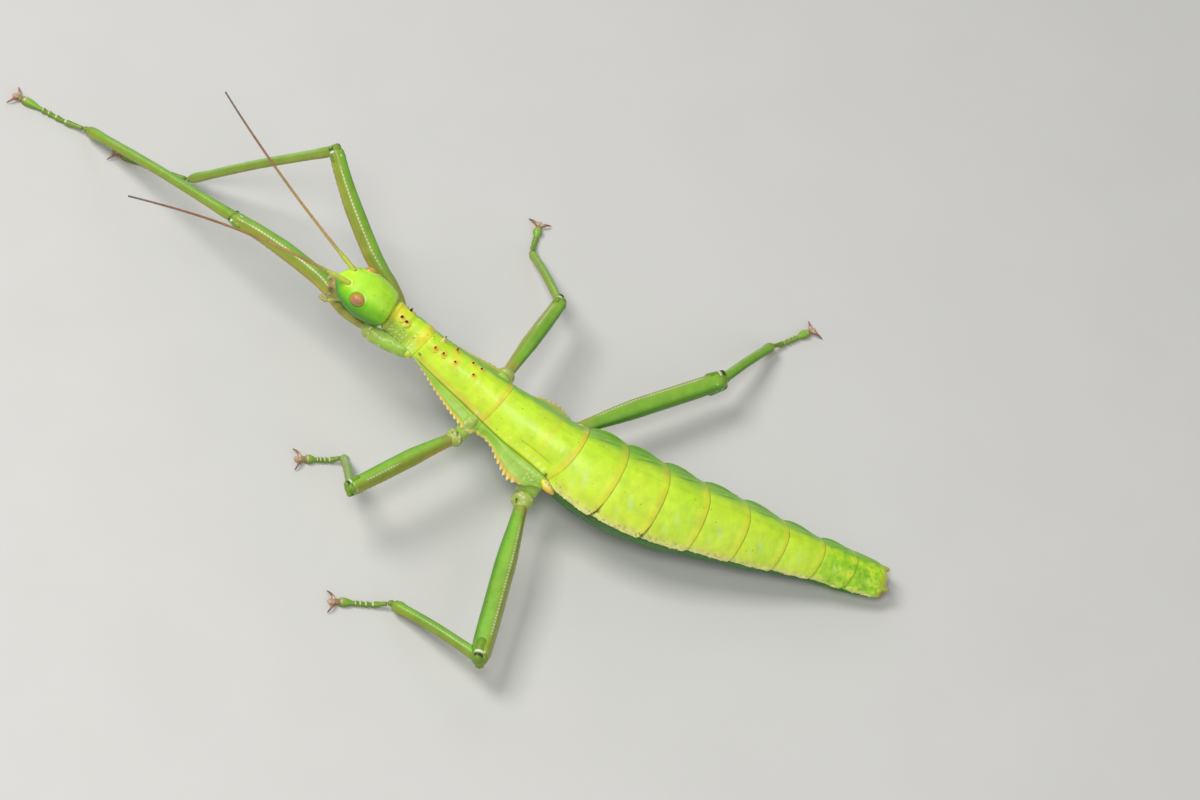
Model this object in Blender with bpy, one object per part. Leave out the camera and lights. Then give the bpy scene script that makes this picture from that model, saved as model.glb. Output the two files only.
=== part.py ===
"""Giant stick insect: a plump, wingless, lime-green female, life size, standing still.

Millimetres in the constants, metres in the scene.  +Z is up, the head looks toward -Y and the
animal's left side is +X.  Stations run along the body in millimetres from the front of the head (0)
to the tip of the tail (90); every body part is placed by station, side distance and height.
"""
import math

import bmesh
import bpy
from mathutils import Vector

MM = 0.001

# ------------------------------------------------------------------ body line
BODY_LENGTH = 90.0
STEP = 0.5                    # spacing at which the body line is traced
# (station, degrees): heading about +Z from -Y, positive toward +X, and pitch, head end up
HEADING = ((9.0, -13.0), (34.0, -12.6), (41.0, -6.5), (48.0, 1.0), (55.0, 8.6), (62.0, 12.0))
PITCH = ((9.0, 11.5), (16.0, 13.4), (26.0, 13.4), (48.0, 8.8), (60.0, 9.5), (70.0, 11.5),
         (80.0, 10.5), (90.0, 6.0))
TAIL_STATION, TAIL_HEIGHT = 84.0, 3.30     # the line is this high above the floor here
GAP = 0.07                    # half the clearance between neighbouring body parts

# Borders between the parts of the trunk, stations
NECK = 9.0
MESOTHORAX_START = 15.2
METATHORAX_START = 28.3
ABDOMEN_BORDERS = (40.7, 47.2, 53.8, 60.2, 66.6, 73.0, 79.0, 84.3, 89.6)

# Outlines along the body: (station, size); top and belly are measured from the body line
TOP = ((9.0, 1.95), (15.2, 1.9), (28.3, 3.0), (36.0, 4.25), (40.7, 4.75), (47.2, 5.05), (53.8, 5.0),
       (60.2, 4.5), (66.6, 3.9), (73.0, 3.25), (79.0, 2.75), (84.3, 2.4), (88.0, 1.95), (90.0, 1.5))
BELLY = ((9.0, 2.2), (15.2, 2.9), (24.0, 3.8), (28.3, 4.3), (36.0, 4.9), (40.7, 5.2), (47.2, 5.9),
         (53.8, 5.7), (60.2, 5.0), (66.6, 4.3), (73.0, 3.6), (79.0, 2.7), (84.3, 1.6), (90.0, 0.6))
FOLD_WIDTH = ((38.0, 5.7), (40.7, 6.2), (47.2, 7.0), (53.8, 6.85), (60.2, 6.1), (66.6, 5.5),
              (73.0, 4.5), (79.0, 3.7), (84.3, 3.45), (88.0, 3.1), (90.0, 2.45))
FOLD_HEIGHT = ((38.0, -0.6), (40.7, 0.1), (47.2, 0.4), (60.2, 0.35), (73.0, 0.2), (79.0, 0.1),
               (84.3, 0.0), (88.0, -0.15), (90.0, -0.25))
ROOF_POWER = 1.7              # 1 gives the abdomen's back the section of a roof, 2 of a vault
CARINA_WIDTH = ((9.0, 2.4), (15.2, 2.75), (20.0, 3.2), (24.0, 3.5), (28.3, 4.0), (32.0, 4.5),
                (36.0, 4.7), (40.7, 5.5))
CARINA_DROP = ((9.0, 2.4), (15.2, 2.7), (21.0, 2.9), (28.3, 3.35), (36.0, 3.8), (40.7, 4.4))
FLANGE_WIDTH = ((9.0, 2.5), (15.2, 2.9), (18.0, 3.5), (20.0, 4.1), (24.0, 5.3), (27.2, 5.9),
                (28.3, 5.6), (29.4, 5.0), (30.6, 5.2), (33.0, 6.6), (35.6, 7.4), (37.2, 7.1),
                (38.6, 6.2), (40.7, 5.7))
FLANGE_DROP = ((9.0, 2.8), (15.2, 3.0), (21.0, 4.0), (28.3, 4.9), (32.0, 5.3), (36.0, 6.3), (40.7, 6.2))
TOOTH_PITCH = 1.15            # serration of the thorax edges
TOOTH_REACH = 0.35
BAND_HEIGHT = 0.14            # raised hind margin of each abdominal plate

# Head: turned a little to the left and up on the neck
HEAD_HEADING, HEAD_PITCH, HEAD_ROLL = -1.3, 17.8, -3.5
NECK_SIDE, NECK_HEIGHT = 0.35, 0.15
# outlines: (station, half width, top, bottom)
HEAD = ((0.3, 1.25, 0.95, 1.15), (0.9, 2.0, 1.75, 1.8), (2.0, 2.7, 2.5, 2.5),
        (3.6, 3.15, 3.1, 2.85), (5.2, 3.35, 3.25, 2.85), (6.8, 3.2, 3.0, 2.6),
        (8.0, 2.85, 2.5, 2.25), (8.62, 2.4, 2.0, 1.9))
HEAD_SIDES = 14
EYE_STATION, EYE_SIDE, EYE_HEIGHT = 3.5, 2.53, 1.6
EYE_RADIUS = 1.05
EYE_SOCKET_GAP = 0.08

# Antennae
ANTENNA_LENGTH = 31.4
ANTENNA_BASE, ANTENNA_TIP = 0.85, 0.5      # diameters
ANTENNA_ROOT = (1.3, 1.2, 1.9)           # station, side distance, height
ANTENNA_AIM = {"left": (5.4, 5.5), "right": (-35.2, 4.6)}      # heading, pitch

# Spines of the back: (station, side distance, height of the spine)
PRONOTUM_SPINES = ((10.6, 0.85, 0.7), (11.0, -0.7, 0.8), (11.5, 0.9, 0.55))
MESONOTUM_SPINES = ((16.7, 1.1, 0.7), (16.9, -0.4, 1.3), (18.05, 1.05, 0.7), (19.2, -0.4, 0.9),
                    (20.0, 0.95, 0.5), (22.0, -0.4, 0.5), (23.0, 0.9, 0.6), (23.4, -0.45, 0.5))
SPINE_RADIUS = 0.42

# Legs.  Root: station, side distance and drop where the thigh leaves the coxa; the coxa starts at
# the hip, inside the thorax.
HIP = {"fore": (13.2, 2.3, 1.9), "mid": (26.8, 4.3, 1.6), "hind": (38.2, 4.6, 2.6)}
LEG_ROOT = {"fore_left": (8.9, 3.0, 2.6), "fore_right": (12.6, 2.6, 4.0), "mid": (26.9, 5.8, 3.6),
            "hind": (38.3, 6.0, 4.5)}
THIGH_LENGTH = {"fore": 26.6, "mid": 19.0, "hind": 27.0}
SHIN_LENGTH = {"fore": 31.0, "mid": 14.8, "hind": 15.3}
FOOT_LENGTH = {"fore": 9.6, "mid": 4.6, "hind": 6.3}
# diameters: thigh base, middle, knee, shin
LEG_THICKNESS = {"fore": (1.2, 2.4, 2.15, 1.5), "mid": (1.7, 2.35, 2.25, 1.25),
                 "hind": (1.9, 3.0, 3.0, 1.6)}
COXA_RADIUS = {"fore": 1.25, "mid": 1.15, "hind": 1.6}
# Pose: thigh heading and pitch, shin heading, foot heading (degrees)
LEG_POSE = {
    "fore_left": (-25.8, -5.5, -28.1, -7.4),
    "fore_right": (-36.9, 28.1, -15.0, -0.9),
    "mid_left": (54.9, 2.1, -76.4, 23.8),
    "mid_right": (-101.0, -7.0, -62.0, -85.0),
    "hind_left": (94.8, -2.3, -22.8, 20.3),
    "hind_right": (-132.3, -2.0, -113.8, -128.0),
}
FORE_BOW = ((0.0, 0.0), (0.12, -0.15), (0.2, 0.1), (0.3, 0.72), (0.42, 1.0), (0.64, 0.9), (0.83, 0.56),
            (1.0, 0.0))
BOW_INWARD, BOW_UP = 1.17, 0.33       # reach of the fore thigh's bow beside the head
ANKLE_HEIGHT = 1.35
FOOT_HEIGHT = 0.45            # line of the foot above the floor
FOOT_JOINTS = 5
PAD_RADIUS, WAIST_RADIUS = 0.52, 0.37
JOINT_GAP = 0.12
CLAW_LENGTH, CLAW_THICK = 1.9, 0.55

# ------------------------------------------------------------------ colours
LIME = (0.50, 0.80, 0.05)
DEEP_GREEN = (0.20, 0.52, 0.03)
LEG_GREEN = (0.11, 0.36, 0.03)
SHIN_GREEN = (0.16, 0.38, 0.05)
TAN = (0.36, 0.27, 0.10)
BROWN = (0.25, 0.13, 0.06)
EYE_TAN = (0.55, 0.27, 0.12)
CLAW_BROWN = (0.10, 0.05, 0.03)

for old in list(bpy.data.objects):
    bpy.data.objects.remove(old, do_unlink=True)


# ------------------------------------------------------------------ curves
def along(knots, x):
    """Smooth value of an outline at x: a monotone Hermite curve through the knots."""
    if x <= knots[0][0]:
        return knots[0][1]
    if x >= knots[-1][0]:
        return knots[-1][1]
    slopes = [(b[1] - a[1]) / (b[0] - a[0]) for a, b in zip(knots, knots[1:])]
    i = max(k for k in range(len(knots) - 1) if knots[k][0] <= x)

    def tangent(k):
        if k == 0:
            return slopes[0]
        if k == len(knots) - 1:
            return slopes[-1]
        before, after = slopes[k - 1], slopes[k]
        return 0.0 if before * after <= 0 else 2 * before * after / (before + after)

    (x0, y0), (x1, y1) = knots[i], knots[i + 1]
    h = x1 - x0
    t = (x - x0) / h
    return (y0 * (1 + 2 * t) * (1 - t) ** 2 + y1 * t * t * (3 - 2 * t)
            + h * tangent(i) * t * (1 - t) ** 2 - h * tangent(i + 1) * t * t * (1 - t))


def aim(heading, pitch):
    """Unit direction with a heading about +Z (0 looks along -Y) and a pitch above the floor."""
    h, p = math.radians(heading), math.radians(pitch)
    return Vector((math.sin(h) * math.cos(p), -math.cos(h) * math.cos(p), math.sin(p)))


def forward_at(station):
    """Direction of the body line toward the head."""
    return aim(along(HEADING, station), along(PITCH, station))


def trace_body_line():
    """Points of the body line every STEP from the head to the tail."""
    points = [Vector((0, 0, 0))]
    for k in range(int(BODY_LENGTH / STEP)):
        points.append(points[-1] - forward_at((k + 0.5) * STEP) * STEP)
    lift = TAIL_HEIGHT - points[int(TAIL_STATION / STEP)].z
    return [p + Vector((0, 0, lift)) for p in points]


BODY_LINE = trace_body_line()


def place(station, side, height):
    """Point of the body at a station, a distance to the left and a height above the line."""
    x = min(max(station / STEP, 0.0), len(BODY_LINE) - 1.001)
    k = int(x)
    base = BODY_LINE[k].lerp(BODY_LINE[k + 1], x - k)
    forward = forward_at(station)
    left = Vector((0, 0, 1)).cross(forward).normalized()
    return base + left * side + forward.cross(left) * height


def place_head(station, side, height):
    """Point of the head, in the turned frame that sits on the neck."""
    forward = aim(HEAD_HEADING, HEAD_PITCH)
    left = Vector((0, 0, 1)).cross(forward).normalized()
    up = forward.cross(left)
    roll = math.radians(HEAD_ROLL)
    left, up = (left * math.cos(roll) + up * math.sin(roll),
                up * math.cos(roll) - left * math.sin(roll))
    return place(NECK, NECK_SIDE, NECK_HEIGHT) + forward * (NECK - station) + left * side + up * height


# ------------------------------------------------------------------ solids
def material(name, colour, roughness, metallic=0.0):
    mat = bpy.data.materials.new(name)
    mat.use_nodes = True
    shader = mat.node_tree.nodes["Principled BSDF"]
    shader.inputs["Base Color"].default_value = (*colour, 1.0)
    shader.inputs["Roughness"].default_value = roughness
    shader.inputs["Metallic"].default_value = metallic
    return mat


def solid(name, rings, colour, roughness=0.4):
    """Closed body through rings of points given in millimetres; its ends are capped."""
    bm = bmesh.new()
    loops = [[bm.verts.new(p * MM) for p in ring] for ring in rings]
    count = len(rings[0])
    for a, b in zip(loops, loops[1:]):
        for i in range(count):
            j = (i + 1) % count
            bm.faces.new((a[i], a[j], b[j], b[i]))
    for ring, loop in ((rings[0], loops[0]), (rings[-1], loops[-1])):
        centre = bm.verts.new(sum(ring, Vector()) / count * MM)
        for i in range(count):
            bm.faces.new((loop[i], loop[(i + 1) % count], centre))
    bmesh.ops.recalc_face_normals(bm, faces=bm.faces)
    bmesh.ops.triangulate(bm, faces=bm.faces)
    mesh = bpy.data.meshes.new(name)
    bm.to_mesh(mesh)
    bm.free()
    for face in mesh.polygons:
        face.use_smooth = True
    item = bpy.data.objects.new(name, mesh)
    bpy.context.collection.objects.link(item)
    mesh.materials.append(material(name, colour, roughness))
    return item


def combine(target, tool, operation):
    """Boolean of two solids; the tool is used up."""
    step = target.modifiers.new("combine", "BOOLEAN")
    step.operation = operation
    step.solver = "EXACT"
    step.object = tool
    bpy.context.view_layer.objects.active = target
    bpy.context.view_layer.update()
    bpy.ops.object.modifier_apply(modifier=step.name)
    bpy.data.objects.remove(tool, do_unlink=True)
    return target


def ring_around(centre, direction, radius, count, floor=None, ridge=0.0):
    """Ring across a direction; ridge > 0 makes every other point stand out, floor flattens it."""
    side = Vector((0, 0, 1)).cross(direction)
    side = side.normalized() if side.length > 1e-6 else Vector((1, 0, 0))
    up = direction.cross(side)
    points = []
    for k in range(count):
        a = 2 * math.pi * k / count
        reach = radius * (1.0 + (ridge if k % 2 == 0 else 0.0))
        p = centre + side * (math.cos(a) * reach) + up * (math.sin(a) * reach)
        if floor is not None:
            p.z = max(p.z, floor)
        points.append(p)
    return points


ROUND_END = ((0.5, 0.87), (0.85, 0.5))     # rings past an end: distance and size, in radii
BLUNT_END = ((0.6, 0.65),)


def limb(name, path, radii, count, colour, floor=None, ridge=0.0, ends=ROUND_END):
    """Solid along a path of points with a radius at each, closed by tapering ends."""
    rings = []
    last = len(path) - 1
    for i, (p, r) in enumerate(zip(path, radii)):
        direction = (path[min(i + 1, last)] - path[max(i - 1, 0)]).normalized()
        beyond = [(-d, size) for d, size in reversed(ends)] if i == 0 else []
        beyond.append((0.0, 1.0))
        if i == last:
            beyond += ends
        for distance, size in beyond:
            rings.append(ring_around(p + direction * r * distance, direction, r * size, count,
                                     floor, ridge))
    return solid(name, rings, colour)


def ball(name, centre, radius, colour, squash=(1.0, 1.0, 1.0), rings=6, count=10, roughness=0.2):
    """Egg-shaped solid with its poles up and down."""
    levels = [-math.cos(math.pi * (k + 0.35) / (rings - 0.3)) for k in range(rings)]
    loops = []
    for level in levels:
        r = math.sqrt(1 - level * level)
        loops.append([centre + Vector((math.cos(2 * math.pi * k / count) * r * radius * squash[0],
                                       math.sin(2 * math.pi * k / count) * r * radius * squash[1],
                                       level * radius * squash[2])) for k in range(count)])
    return solid(name, loops, colour, roughness)


# ------------------------------------------------------------------ sections of the trunk
def mirrored(half):
    """Full section from its left half, which runs from the back line down to the belly line."""
    return half + [(-side, height) for side, height in reversed(half[1:-1])]


def thorax_section(station, tooth):
    """Roofed back, a carina, the sloping side plate, the toothed edge and a flat breast."""
    top, belly = along(TOP, station), along(BELLY, station)
    carina, drop = along(CARINA_WIDTH, station), along(CARINA_DROP, station)
    flange, flange_drop = along(FLANGE_WIDTH, station), along(FLANGE_DROP, station)
    edge = flange + (TOOTH_REACH if tooth else 0.0)
    return mirrored([
        (0.0, top),
        (0.52 * carina, top - 0.27 * drop),
        (carina, top - drop),
        (carina + 0.5 * (flange - carina), top - drop - 0.55 * (flange_drop - drop)),
        (edge, top - flange_drop),
        (flange - 0.55, top - flange_drop - 0.5),
        (0.66 * flange, -0.70 * belly),
        (0.42 * flange, -0.94 * belly),
        (0.0, -belly)])


def abdomen_section(station, grow):
    """Roof-like plate above the side fold, softer belly below it."""
    width, fold = along(FOLD_WIDTH, station), along(FOLD_HEIGHT, station)
    top, belly = along(TOP, station), along(BELLY, station)
    half = []
    for k in range(7):
        a = math.radians(90 - 15 * k)
        side = math.cos(a)
        half.append(((width + grow) * side,
                     fold + (top + grow - fold) * (1 - side ** ROOF_POWER)))
    for k in range(1, 5):
        a = math.radians(22.5 * k)
        half.append(((width - 0.45) * math.cos(a), fold - 0.15 - (belly + fold) * math.sin(a)))
    return mirrored(half)


def trunk(name, stations, section, colour, roughness=0.38):
    rings = [[place(s, side, height) for side, height in section(s)] for s in stations]
    return solid(name, rings, colour, roughness)


def spaced(start, end, pitch):
    count = max(1, round((end - start) / pitch))
    return [start + (end - start) * k / count for k in range(count + 1)]


def toothed(start, end, teeth_until):
    """Thorax stations with a tooth at every second one, and the section that goes with them."""
    stations = spaced(start, teeth_until, TOOTH_PITCH / 2)
    teeth = set(stations[1::2])
    if teeth_until < end:
        stations += spaced(teeth_until, end, 1.0)[1:]
    return stations, lambda s: thorax_section(s, s in teeth)


def add_spines(body, spines):
    """Conical spines leaning a little outward, grown from the back."""
    for k, (station, side, height) in enumerate(spines):
        slope = along(CARINA_DROP, station) / along(CARINA_WIDTH, station) ** 2
        surface = along(TOP, station) - slope * side * side - 0.05
        foot = place(station, side, surface - 0.35)
        tip = place(station - 0.15, side * 1.25, surface + height)
        direction = (tip - foot).normalized()
        rings = [ring_around(foot, direction, SPINE_RADIUS, 6),
                 ring_around(foot.lerp(tip, 0.5), direction, 0.25, 6),
                 ring_around(tip, direction, 0.07, 6)]
        combine(body, solid(body.name + "_spine_%d" % k, rings, LIME), "UNION")


# ------------------------------------------------------------------ thorax and abdomen
prothorax = trunk("prothorax", spaced(NECK + GAP, MESOTHORAX_START - GAP, 1.2),
                  lambda s: thorax_section(s, False), DEEP_GREEN)
add_spines(prothorax, PRONOTUM_SPINES)

meso_stations, meso_section = toothed(MESOTHORAX_START + GAP, METATHORAX_START - GAP,
                                      METATHORAX_START - 1.1)
mesothorax = trunk("mesothorax", meso_stations, meso_section, LIME)
add_spines(mesothorax, MESONOTUM_SPINES)

meta_stations, meta_section = toothed(METATHORAX_START + GAP, ABDOMEN_BORDERS[0] - GAP, 36.2)
metathorax = trunk("metathorax", meta_stations, meta_section, LIME)
LOBE_STATIONS, LOBE_SIDE, LOBE_HEIGHT = (38.6, 40.2), 5.15, -0.75
for side in (1, -1):
    lobe = limb("side_lobe", [place(s, side * LOBE_SIDE, LOBE_HEIGHT) for s in LOBE_STATIONS],
                [0.5, 0.5], 8, LIME)
    combine(metathorax, lobe, "UNION")

for number, (start, end) in enumerate(zip(ABDOMEN_BORDERS[:7], ABDOMEN_BORDERS[1:8]), 2):
    a, b = start + GAP, end - GAP
    raised = {b - 0.55: BAND_HEIGHT, b: BAND_HEIGHT}
    trunk("abdomen_%d" % number, [a, a + 0.4 * (b - a), b - 0.75, b - 0.55, b],
          lambda s, raised=raised: abdomen_section(s, raised.get(s, 0.0)), LIME)

# Tail: ninth and tenth plates with a short cercus at each side
tail_start, tail_end = ABDOMEN_BORDERS[7] + GAP, ABDOMEN_BORDERS[8]
tail = trunk("tail", [tail_start, 86.4, 86.9, 88.2, 89.1, tail_end],
             lambda s: abdomen_section(s, BAND_HEIGHT if s == 86.4 else 0.0), LIME)
for side in (1, -1):
    path = [place(s, side * w, 0.35) for s, w in ((88.3, 1.5), (89.3, 1.75), (90.1, 1.7))]
    combine(tail, limb("cercus", path, [0.5, 0.42, 0.28], 6, LIME,
                       ends=BLUNT_END), "UNION")

# Operculum: the boat-shaped plate under the tail, flat where it rests on the floor
OPERCULUM_START, OPERCULUM_END = 79.6, 90.6
OPERCULUM_WIDTH = ((79.6, 1.9), (82.5, 2.45), (86.0, 2.2), (89.0, 1.4), (90.6, 0.7))
rings = []
for station in spaced(OPERCULUM_START, OPERCULUM_END, 1.1):
    half_width = along(OPERCULUM_WIDTH, station)
    inner = -along(BELLY, station) - 0.25
    ring = [place(station, half_width * math.cos(math.radians(a)), inner) for a in (0, 60, 120, 180)]
    for a in (210, 240, 270, 300, 330):
        p = place(station, half_width * math.cos(math.radians(a)),
                  inner + (3.6 + inner) * math.sin(math.radians(a)) * 1.35 - 0.15)
        p.z = max(p.z, 0.0)
        ring.append(p)
    rings.append(ring)
solid("operculum", rings, DEEP_GREEN)

# ------------------------------------------------------------------ head
rings = []
for station, width, top, bottom in HEAD:
    ring = []
    for k in range(HEAD_SIDES):
        a = 2 * math.pi * k / HEAD_SIDES
        height = (top if math.sin(a) > 0 else bottom) * math.sin(a)
        ring.append(place_head(station, width * math.cos(a), height))
    rings.append(ring)
head = solid("head", rings, LIME, 0.3)

EYE_SQUASH = (0.72, 1.0, 0.95)
for label, side in (("left", 1), ("right", -1)):
    centre = place_head(EYE_STATION, side * EYE_SIDE, EYE_HEIGHT)
    socket = ball("socket", centre, EYE_RADIUS + EYE_SOCKET_GAP, TAN, EYE_SQUASH)
    combine(head, socket, "DIFFERENCE")
    ball("eye_" + label, centre, EYE_RADIUS, EYE_TAN, EYE_SQUASH, roughness=0.12)

# Mouthparts: upper lip and jaws with a feeler-like palp at each side
mouth_rings = []
for station, width, top, bottom in ((-0.25, 0.75, -1.3, -2.4), (0.4, 1.15, -1.6, -3.0),
                                    (1.5, 1.45, -2.4, -3.5), (2.9, 1.3, -2.9, -3.7)):
    mouth_rings.append([place_head(station, width * math.cos(math.radians(a)),
                              (top + bottom) / 2 + (top - bottom) / 2 * math.sin(math.radians(a)))
                        for a in range(0, 360, 36)])
mouthparts = solid("mouthparts", mouth_rings, TAN, 0.4)
for side in (1, -1):
    path = [place_head(s, side * w, h) for s, w, h in ((1.9, 1.2, -3.1), (0.9, 1.95, -3.6),
                                                  (0.0, 1.7, -3.8))]
    combine(mouthparts, limb("palp", path, [0.33, 0.32, 0.27], 6, TAN, ends=BLUNT_END),
            "UNION")
swelled = solid("mouth_room", [[p + (p - sum(ring, Vector()) / 10).normalized() * 0.1
                                for p in ring] for ring in mouth_rings], TAN)
combine(head, swelled, "DIFFERENCE")

for label, side in (("left", 1), ("right", -1)):
    station, width, height = ANTENNA_ROOT
    root = place_head(station, side * width, height)
    ahead = aim(HEAD_HEADING, HEAD_PITCH)
    direction = aim(*ANTENNA_AIM[label])
    path, radii = [root + ahead * 0.35], [ANTENNA_BASE / 2]
    for k in range(1, 9):
        t = k / 8
        bow = direction.lerp(ahead, 0.25 * (1 - t)).normalized()
        path.append(root + ahead * 0.35 + bow * ANTENNA_LENGTH * t)
        radii.append((ANTENNA_BASE + (ANTENNA_TIP - ANTENNA_BASE) * min(1.0, t * 2.5)) / 2)
    limb("antenna_" + label, path, radii, 6, BROWN)


# ------------------------------------------------------------------ legs
def bow(pair, t, inward):
    """Shift of the thigh from a straight line; the fore one bends around the head."""
    if pair == "fore":
        return (inward * BOW_INWARD + Vector((0, 0, BOW_UP))) * along(FORE_BOW, t)
    return Vector((0, 0, 0.5 * math.sin(math.pi * t) * (1 - t)))


def leg(pair, label):
    """Coxa, femur, tibia, tarsus and claws of one leg, standing on the floor."""
    name = pair + "_" + label
    side = 1 if label == "left" else -1
    thigh_heading, thigh_pitch, shin_heading, foot_heading = LEG_POSE[name]
    base, middle, knee, shin = (d / 2 for d in LEG_THICKNESS[pair])
    station, width, drop = LEG_ROOT.get(name, LEG_ROOT.get(pair))
    joint = place(station, side * width, -drop)
    bend = joint + aim(thigh_heading, thigh_pitch) * THIGH_LENGTH[pair]
    shin_pitch = -math.degrees(math.asin((bend.z - ANKLE_HEIGHT) / SHIN_LENGTH[pair]))
    shin_way = aim(shin_heading, shin_pitch)
    ankle = bend + shin_way * SHIN_LENGTH[pair]
    foot_way = aim(foot_heading, 0.0)

    # coxa: a stub from inside the thorax, which gets a socket around it
    radius = COXA_RADIUS[pair]
    station, width, drop = HIP[pair]
    inside = place(station, side * width, -drop)
    body = prothorax if pair == "fore" else mesothorax if pair == "mid" else metathorax
    room = limb("room", [inside, joint], [radius + 0.1, radius * 0.85 + 0.1], 8, LEG_GREEN)
    combine(body, room, "DIFFERENCE")
    limb(name + "_coxa", [inside, joint], [radius, radius * 0.85], 8, LEG_GREEN)

    # femur: narrow base, then almost parallel sides with fine ridges
    thigh_way = (bend - joint).normalized()
    inward = thigh_way.cross(Vector((0, 0, 1))).normalized() * side
    start = joint + thigh_way * (radius * 0.85 + base + JOINT_GAP)
    end = bend - thigh_way * knee * 0.5
    path, radii = [], []
    for t, r in ((0, base), (0.12, base + 0.25 * (middle - base)), (0.3, middle * 0.92),
                 (0.42, middle), (0.64, middle), (0.83, knee), (1.0, knee * 0.95)):
        path.append(start.lerp(end, t) + bow(pair, t, inward))
        radii.append(r)
    limb(name + "_femur", path, radii, 8, LEG_GREEN, ridge=0.10)

    # tibia: slender, a little wider at both ends
    fold = min(thigh_way.angle(-shin_way), math.pi / 2)
    start = bend + shin_way * ((knee + shin) * 1.08 + JOINT_GAP) / math.sin(fold)
    end = ankle - shin_way * shin
    path = [start.lerp(end, t) for t in (0, 0.1, 0.5, 0.9, 1.0)]
    limb(name + "_tibia", path, [shin * 1.05, shin * 0.9, shin * 0.85, shin * 0.9, shin], 8,
         SHIN_GREEN, ridge=0.08, ends=BLUNT_END)

    # tarsus: five joints, each ending in a pad that is flat on the floor
    length = FOOT_LENGTH[pair]
    first = ankle + foot_way * (shin * 0.35 + WAIST_RADIUS * 0.6 + JOINT_GAP)
    first.z = ANKLE_HEIGHT * 0.75
    shares = (0.40, 0.17, 0.13, 0.11, 0.19)
    path, radii, reach = [first], [WAIST_RADIUS], 0.0
    for k in range(FOOT_JOINTS):
        for part, r in ((0.8, PAD_RADIUS), (1.0, WAIST_RADIUS)):
            p = first + foot_way * (reach + shares[k] * part) * length
            p.z = FOOT_HEIGHT
            path.append(p)
            radii.append(r)
        reach += shares[k]
    limb(name + "_tarsus", path, radii, 6, TAN, floor=0.0, ends=BLUNT_END)

    # claws: a soft pad between two hooks
    hub = path[-1] + foot_way * (WAIST_RADIUS + 0.42 + JOINT_GAP)
    hub.z = FOOT_HEIGHT
    claws = limb(name + "_claws", [hub, hub + foot_way * 0.35], [0.42, 0.5], 6, CLAW_BROWN,
                 floor=0.0, ends=BLUNT_END)
    for turn in (62, -62):
        out = aim(foot_heading + turn, 0.0)
        tip_way = aim(foot_heading + turn * 0.5, 0.0)
        start = hub + Vector((0, 0, 0.1))
        path = [start, start + out * CLAW_LENGTH * 0.55 + Vector((0, 0, 0.12)),
                start + out * CLAW_LENGTH * 0.55 + tip_way * CLAW_LENGTH * 0.45
                - Vector((0, 0, 0.2))]
        thick = CLAW_THICK / 2
        combine(claws, limb("claw", path, [thick, thick, thick * 0.75], 5, CLAW_BROWN, floor=0.0,
                            ends=BLUNT_END), "UNION")


for pair in ("fore", "mid", "hind"):
    for label in ("left", "right"):
        leg(pair, label)

# ------------------------------------------------------------------ frame
# The origin is the middle of the footprint, on the floor; every part gets its own centre and
# hangs on one empty there.
bpy.context.view_layer.update()


def bounds(points):
    """Lowest and highest corner of a set of points."""
    return (Vector([min(p[i] for p in points) for i in range(3)]),
            Vector([max(p[i] for p in points) for i in range(3)]))


items = [o for o in bpy.data.objects if o.type == "MESH"]
low, high = bounds([v.co for item in items for v in item.data.vertices])
footprint = Vector(((low.x + high.x) / 2, (low.y + high.y) / 2, 0.0))
insect = bpy.data.objects.new("stick_insect", None)
bpy.context.collection.objects.link(insect)
for item in items:
    low, high = bounds([v.co for v in item.data.vertices])
    centre = (low + high) / 2
    for v in item.data.vertices:
        v.co -= centre
    item.data.update()
    item.location = centre - footprint
    item.parent = insect
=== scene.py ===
"""Looks of the giant stick insect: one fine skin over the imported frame, with eyes, claws and feelers.

Millimetres in the constants and in every shell, metres in the scene.  Stations run along the body
from the front of the head (0) to the tip of the tail (90), as in part.py; u runs over half a
section from the back line (0) to the belly line (1).
"""
import itertools
import math

import bpy
import numpy as np
from mathutils import Matrix, Vector


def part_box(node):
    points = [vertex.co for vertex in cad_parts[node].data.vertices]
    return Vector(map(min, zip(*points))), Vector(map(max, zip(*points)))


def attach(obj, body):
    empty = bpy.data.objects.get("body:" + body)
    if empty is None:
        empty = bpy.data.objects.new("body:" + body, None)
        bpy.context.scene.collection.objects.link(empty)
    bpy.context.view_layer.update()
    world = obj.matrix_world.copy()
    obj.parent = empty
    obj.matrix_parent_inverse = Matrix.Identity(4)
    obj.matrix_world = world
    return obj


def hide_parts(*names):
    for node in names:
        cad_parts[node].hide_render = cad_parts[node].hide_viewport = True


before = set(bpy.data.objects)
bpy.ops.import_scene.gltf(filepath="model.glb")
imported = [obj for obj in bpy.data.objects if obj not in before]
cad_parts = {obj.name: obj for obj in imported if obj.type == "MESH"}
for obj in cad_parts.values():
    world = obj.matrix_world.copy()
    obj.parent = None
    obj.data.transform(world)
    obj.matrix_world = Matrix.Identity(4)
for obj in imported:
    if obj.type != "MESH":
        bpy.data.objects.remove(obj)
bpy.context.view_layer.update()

MM = 0.001
UP = np.array((0.0, 0.0, 1.0))

# ------------------------------------------------------------------ driving sizes, as in part.py
BODY_LENGTH = 90.0
STEP = 0.5
HEADING = ((9.0, -13.0), (34.0, -12.6), (41.0, -6.5), (48.0, 1.0), (55.0, 8.6), (62.0, 12.0))
PITCH = ((9.0, 11.5), (16.0, 13.4), (26.0, 13.4), (48.0, 8.8), (60.0, 9.5), (70.0, 11.5),
         (80.0, 10.5), (90.0, 6.0))
TAIL_STATION, TAIL_HEIGHT = 84.0, 3.30

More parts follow.
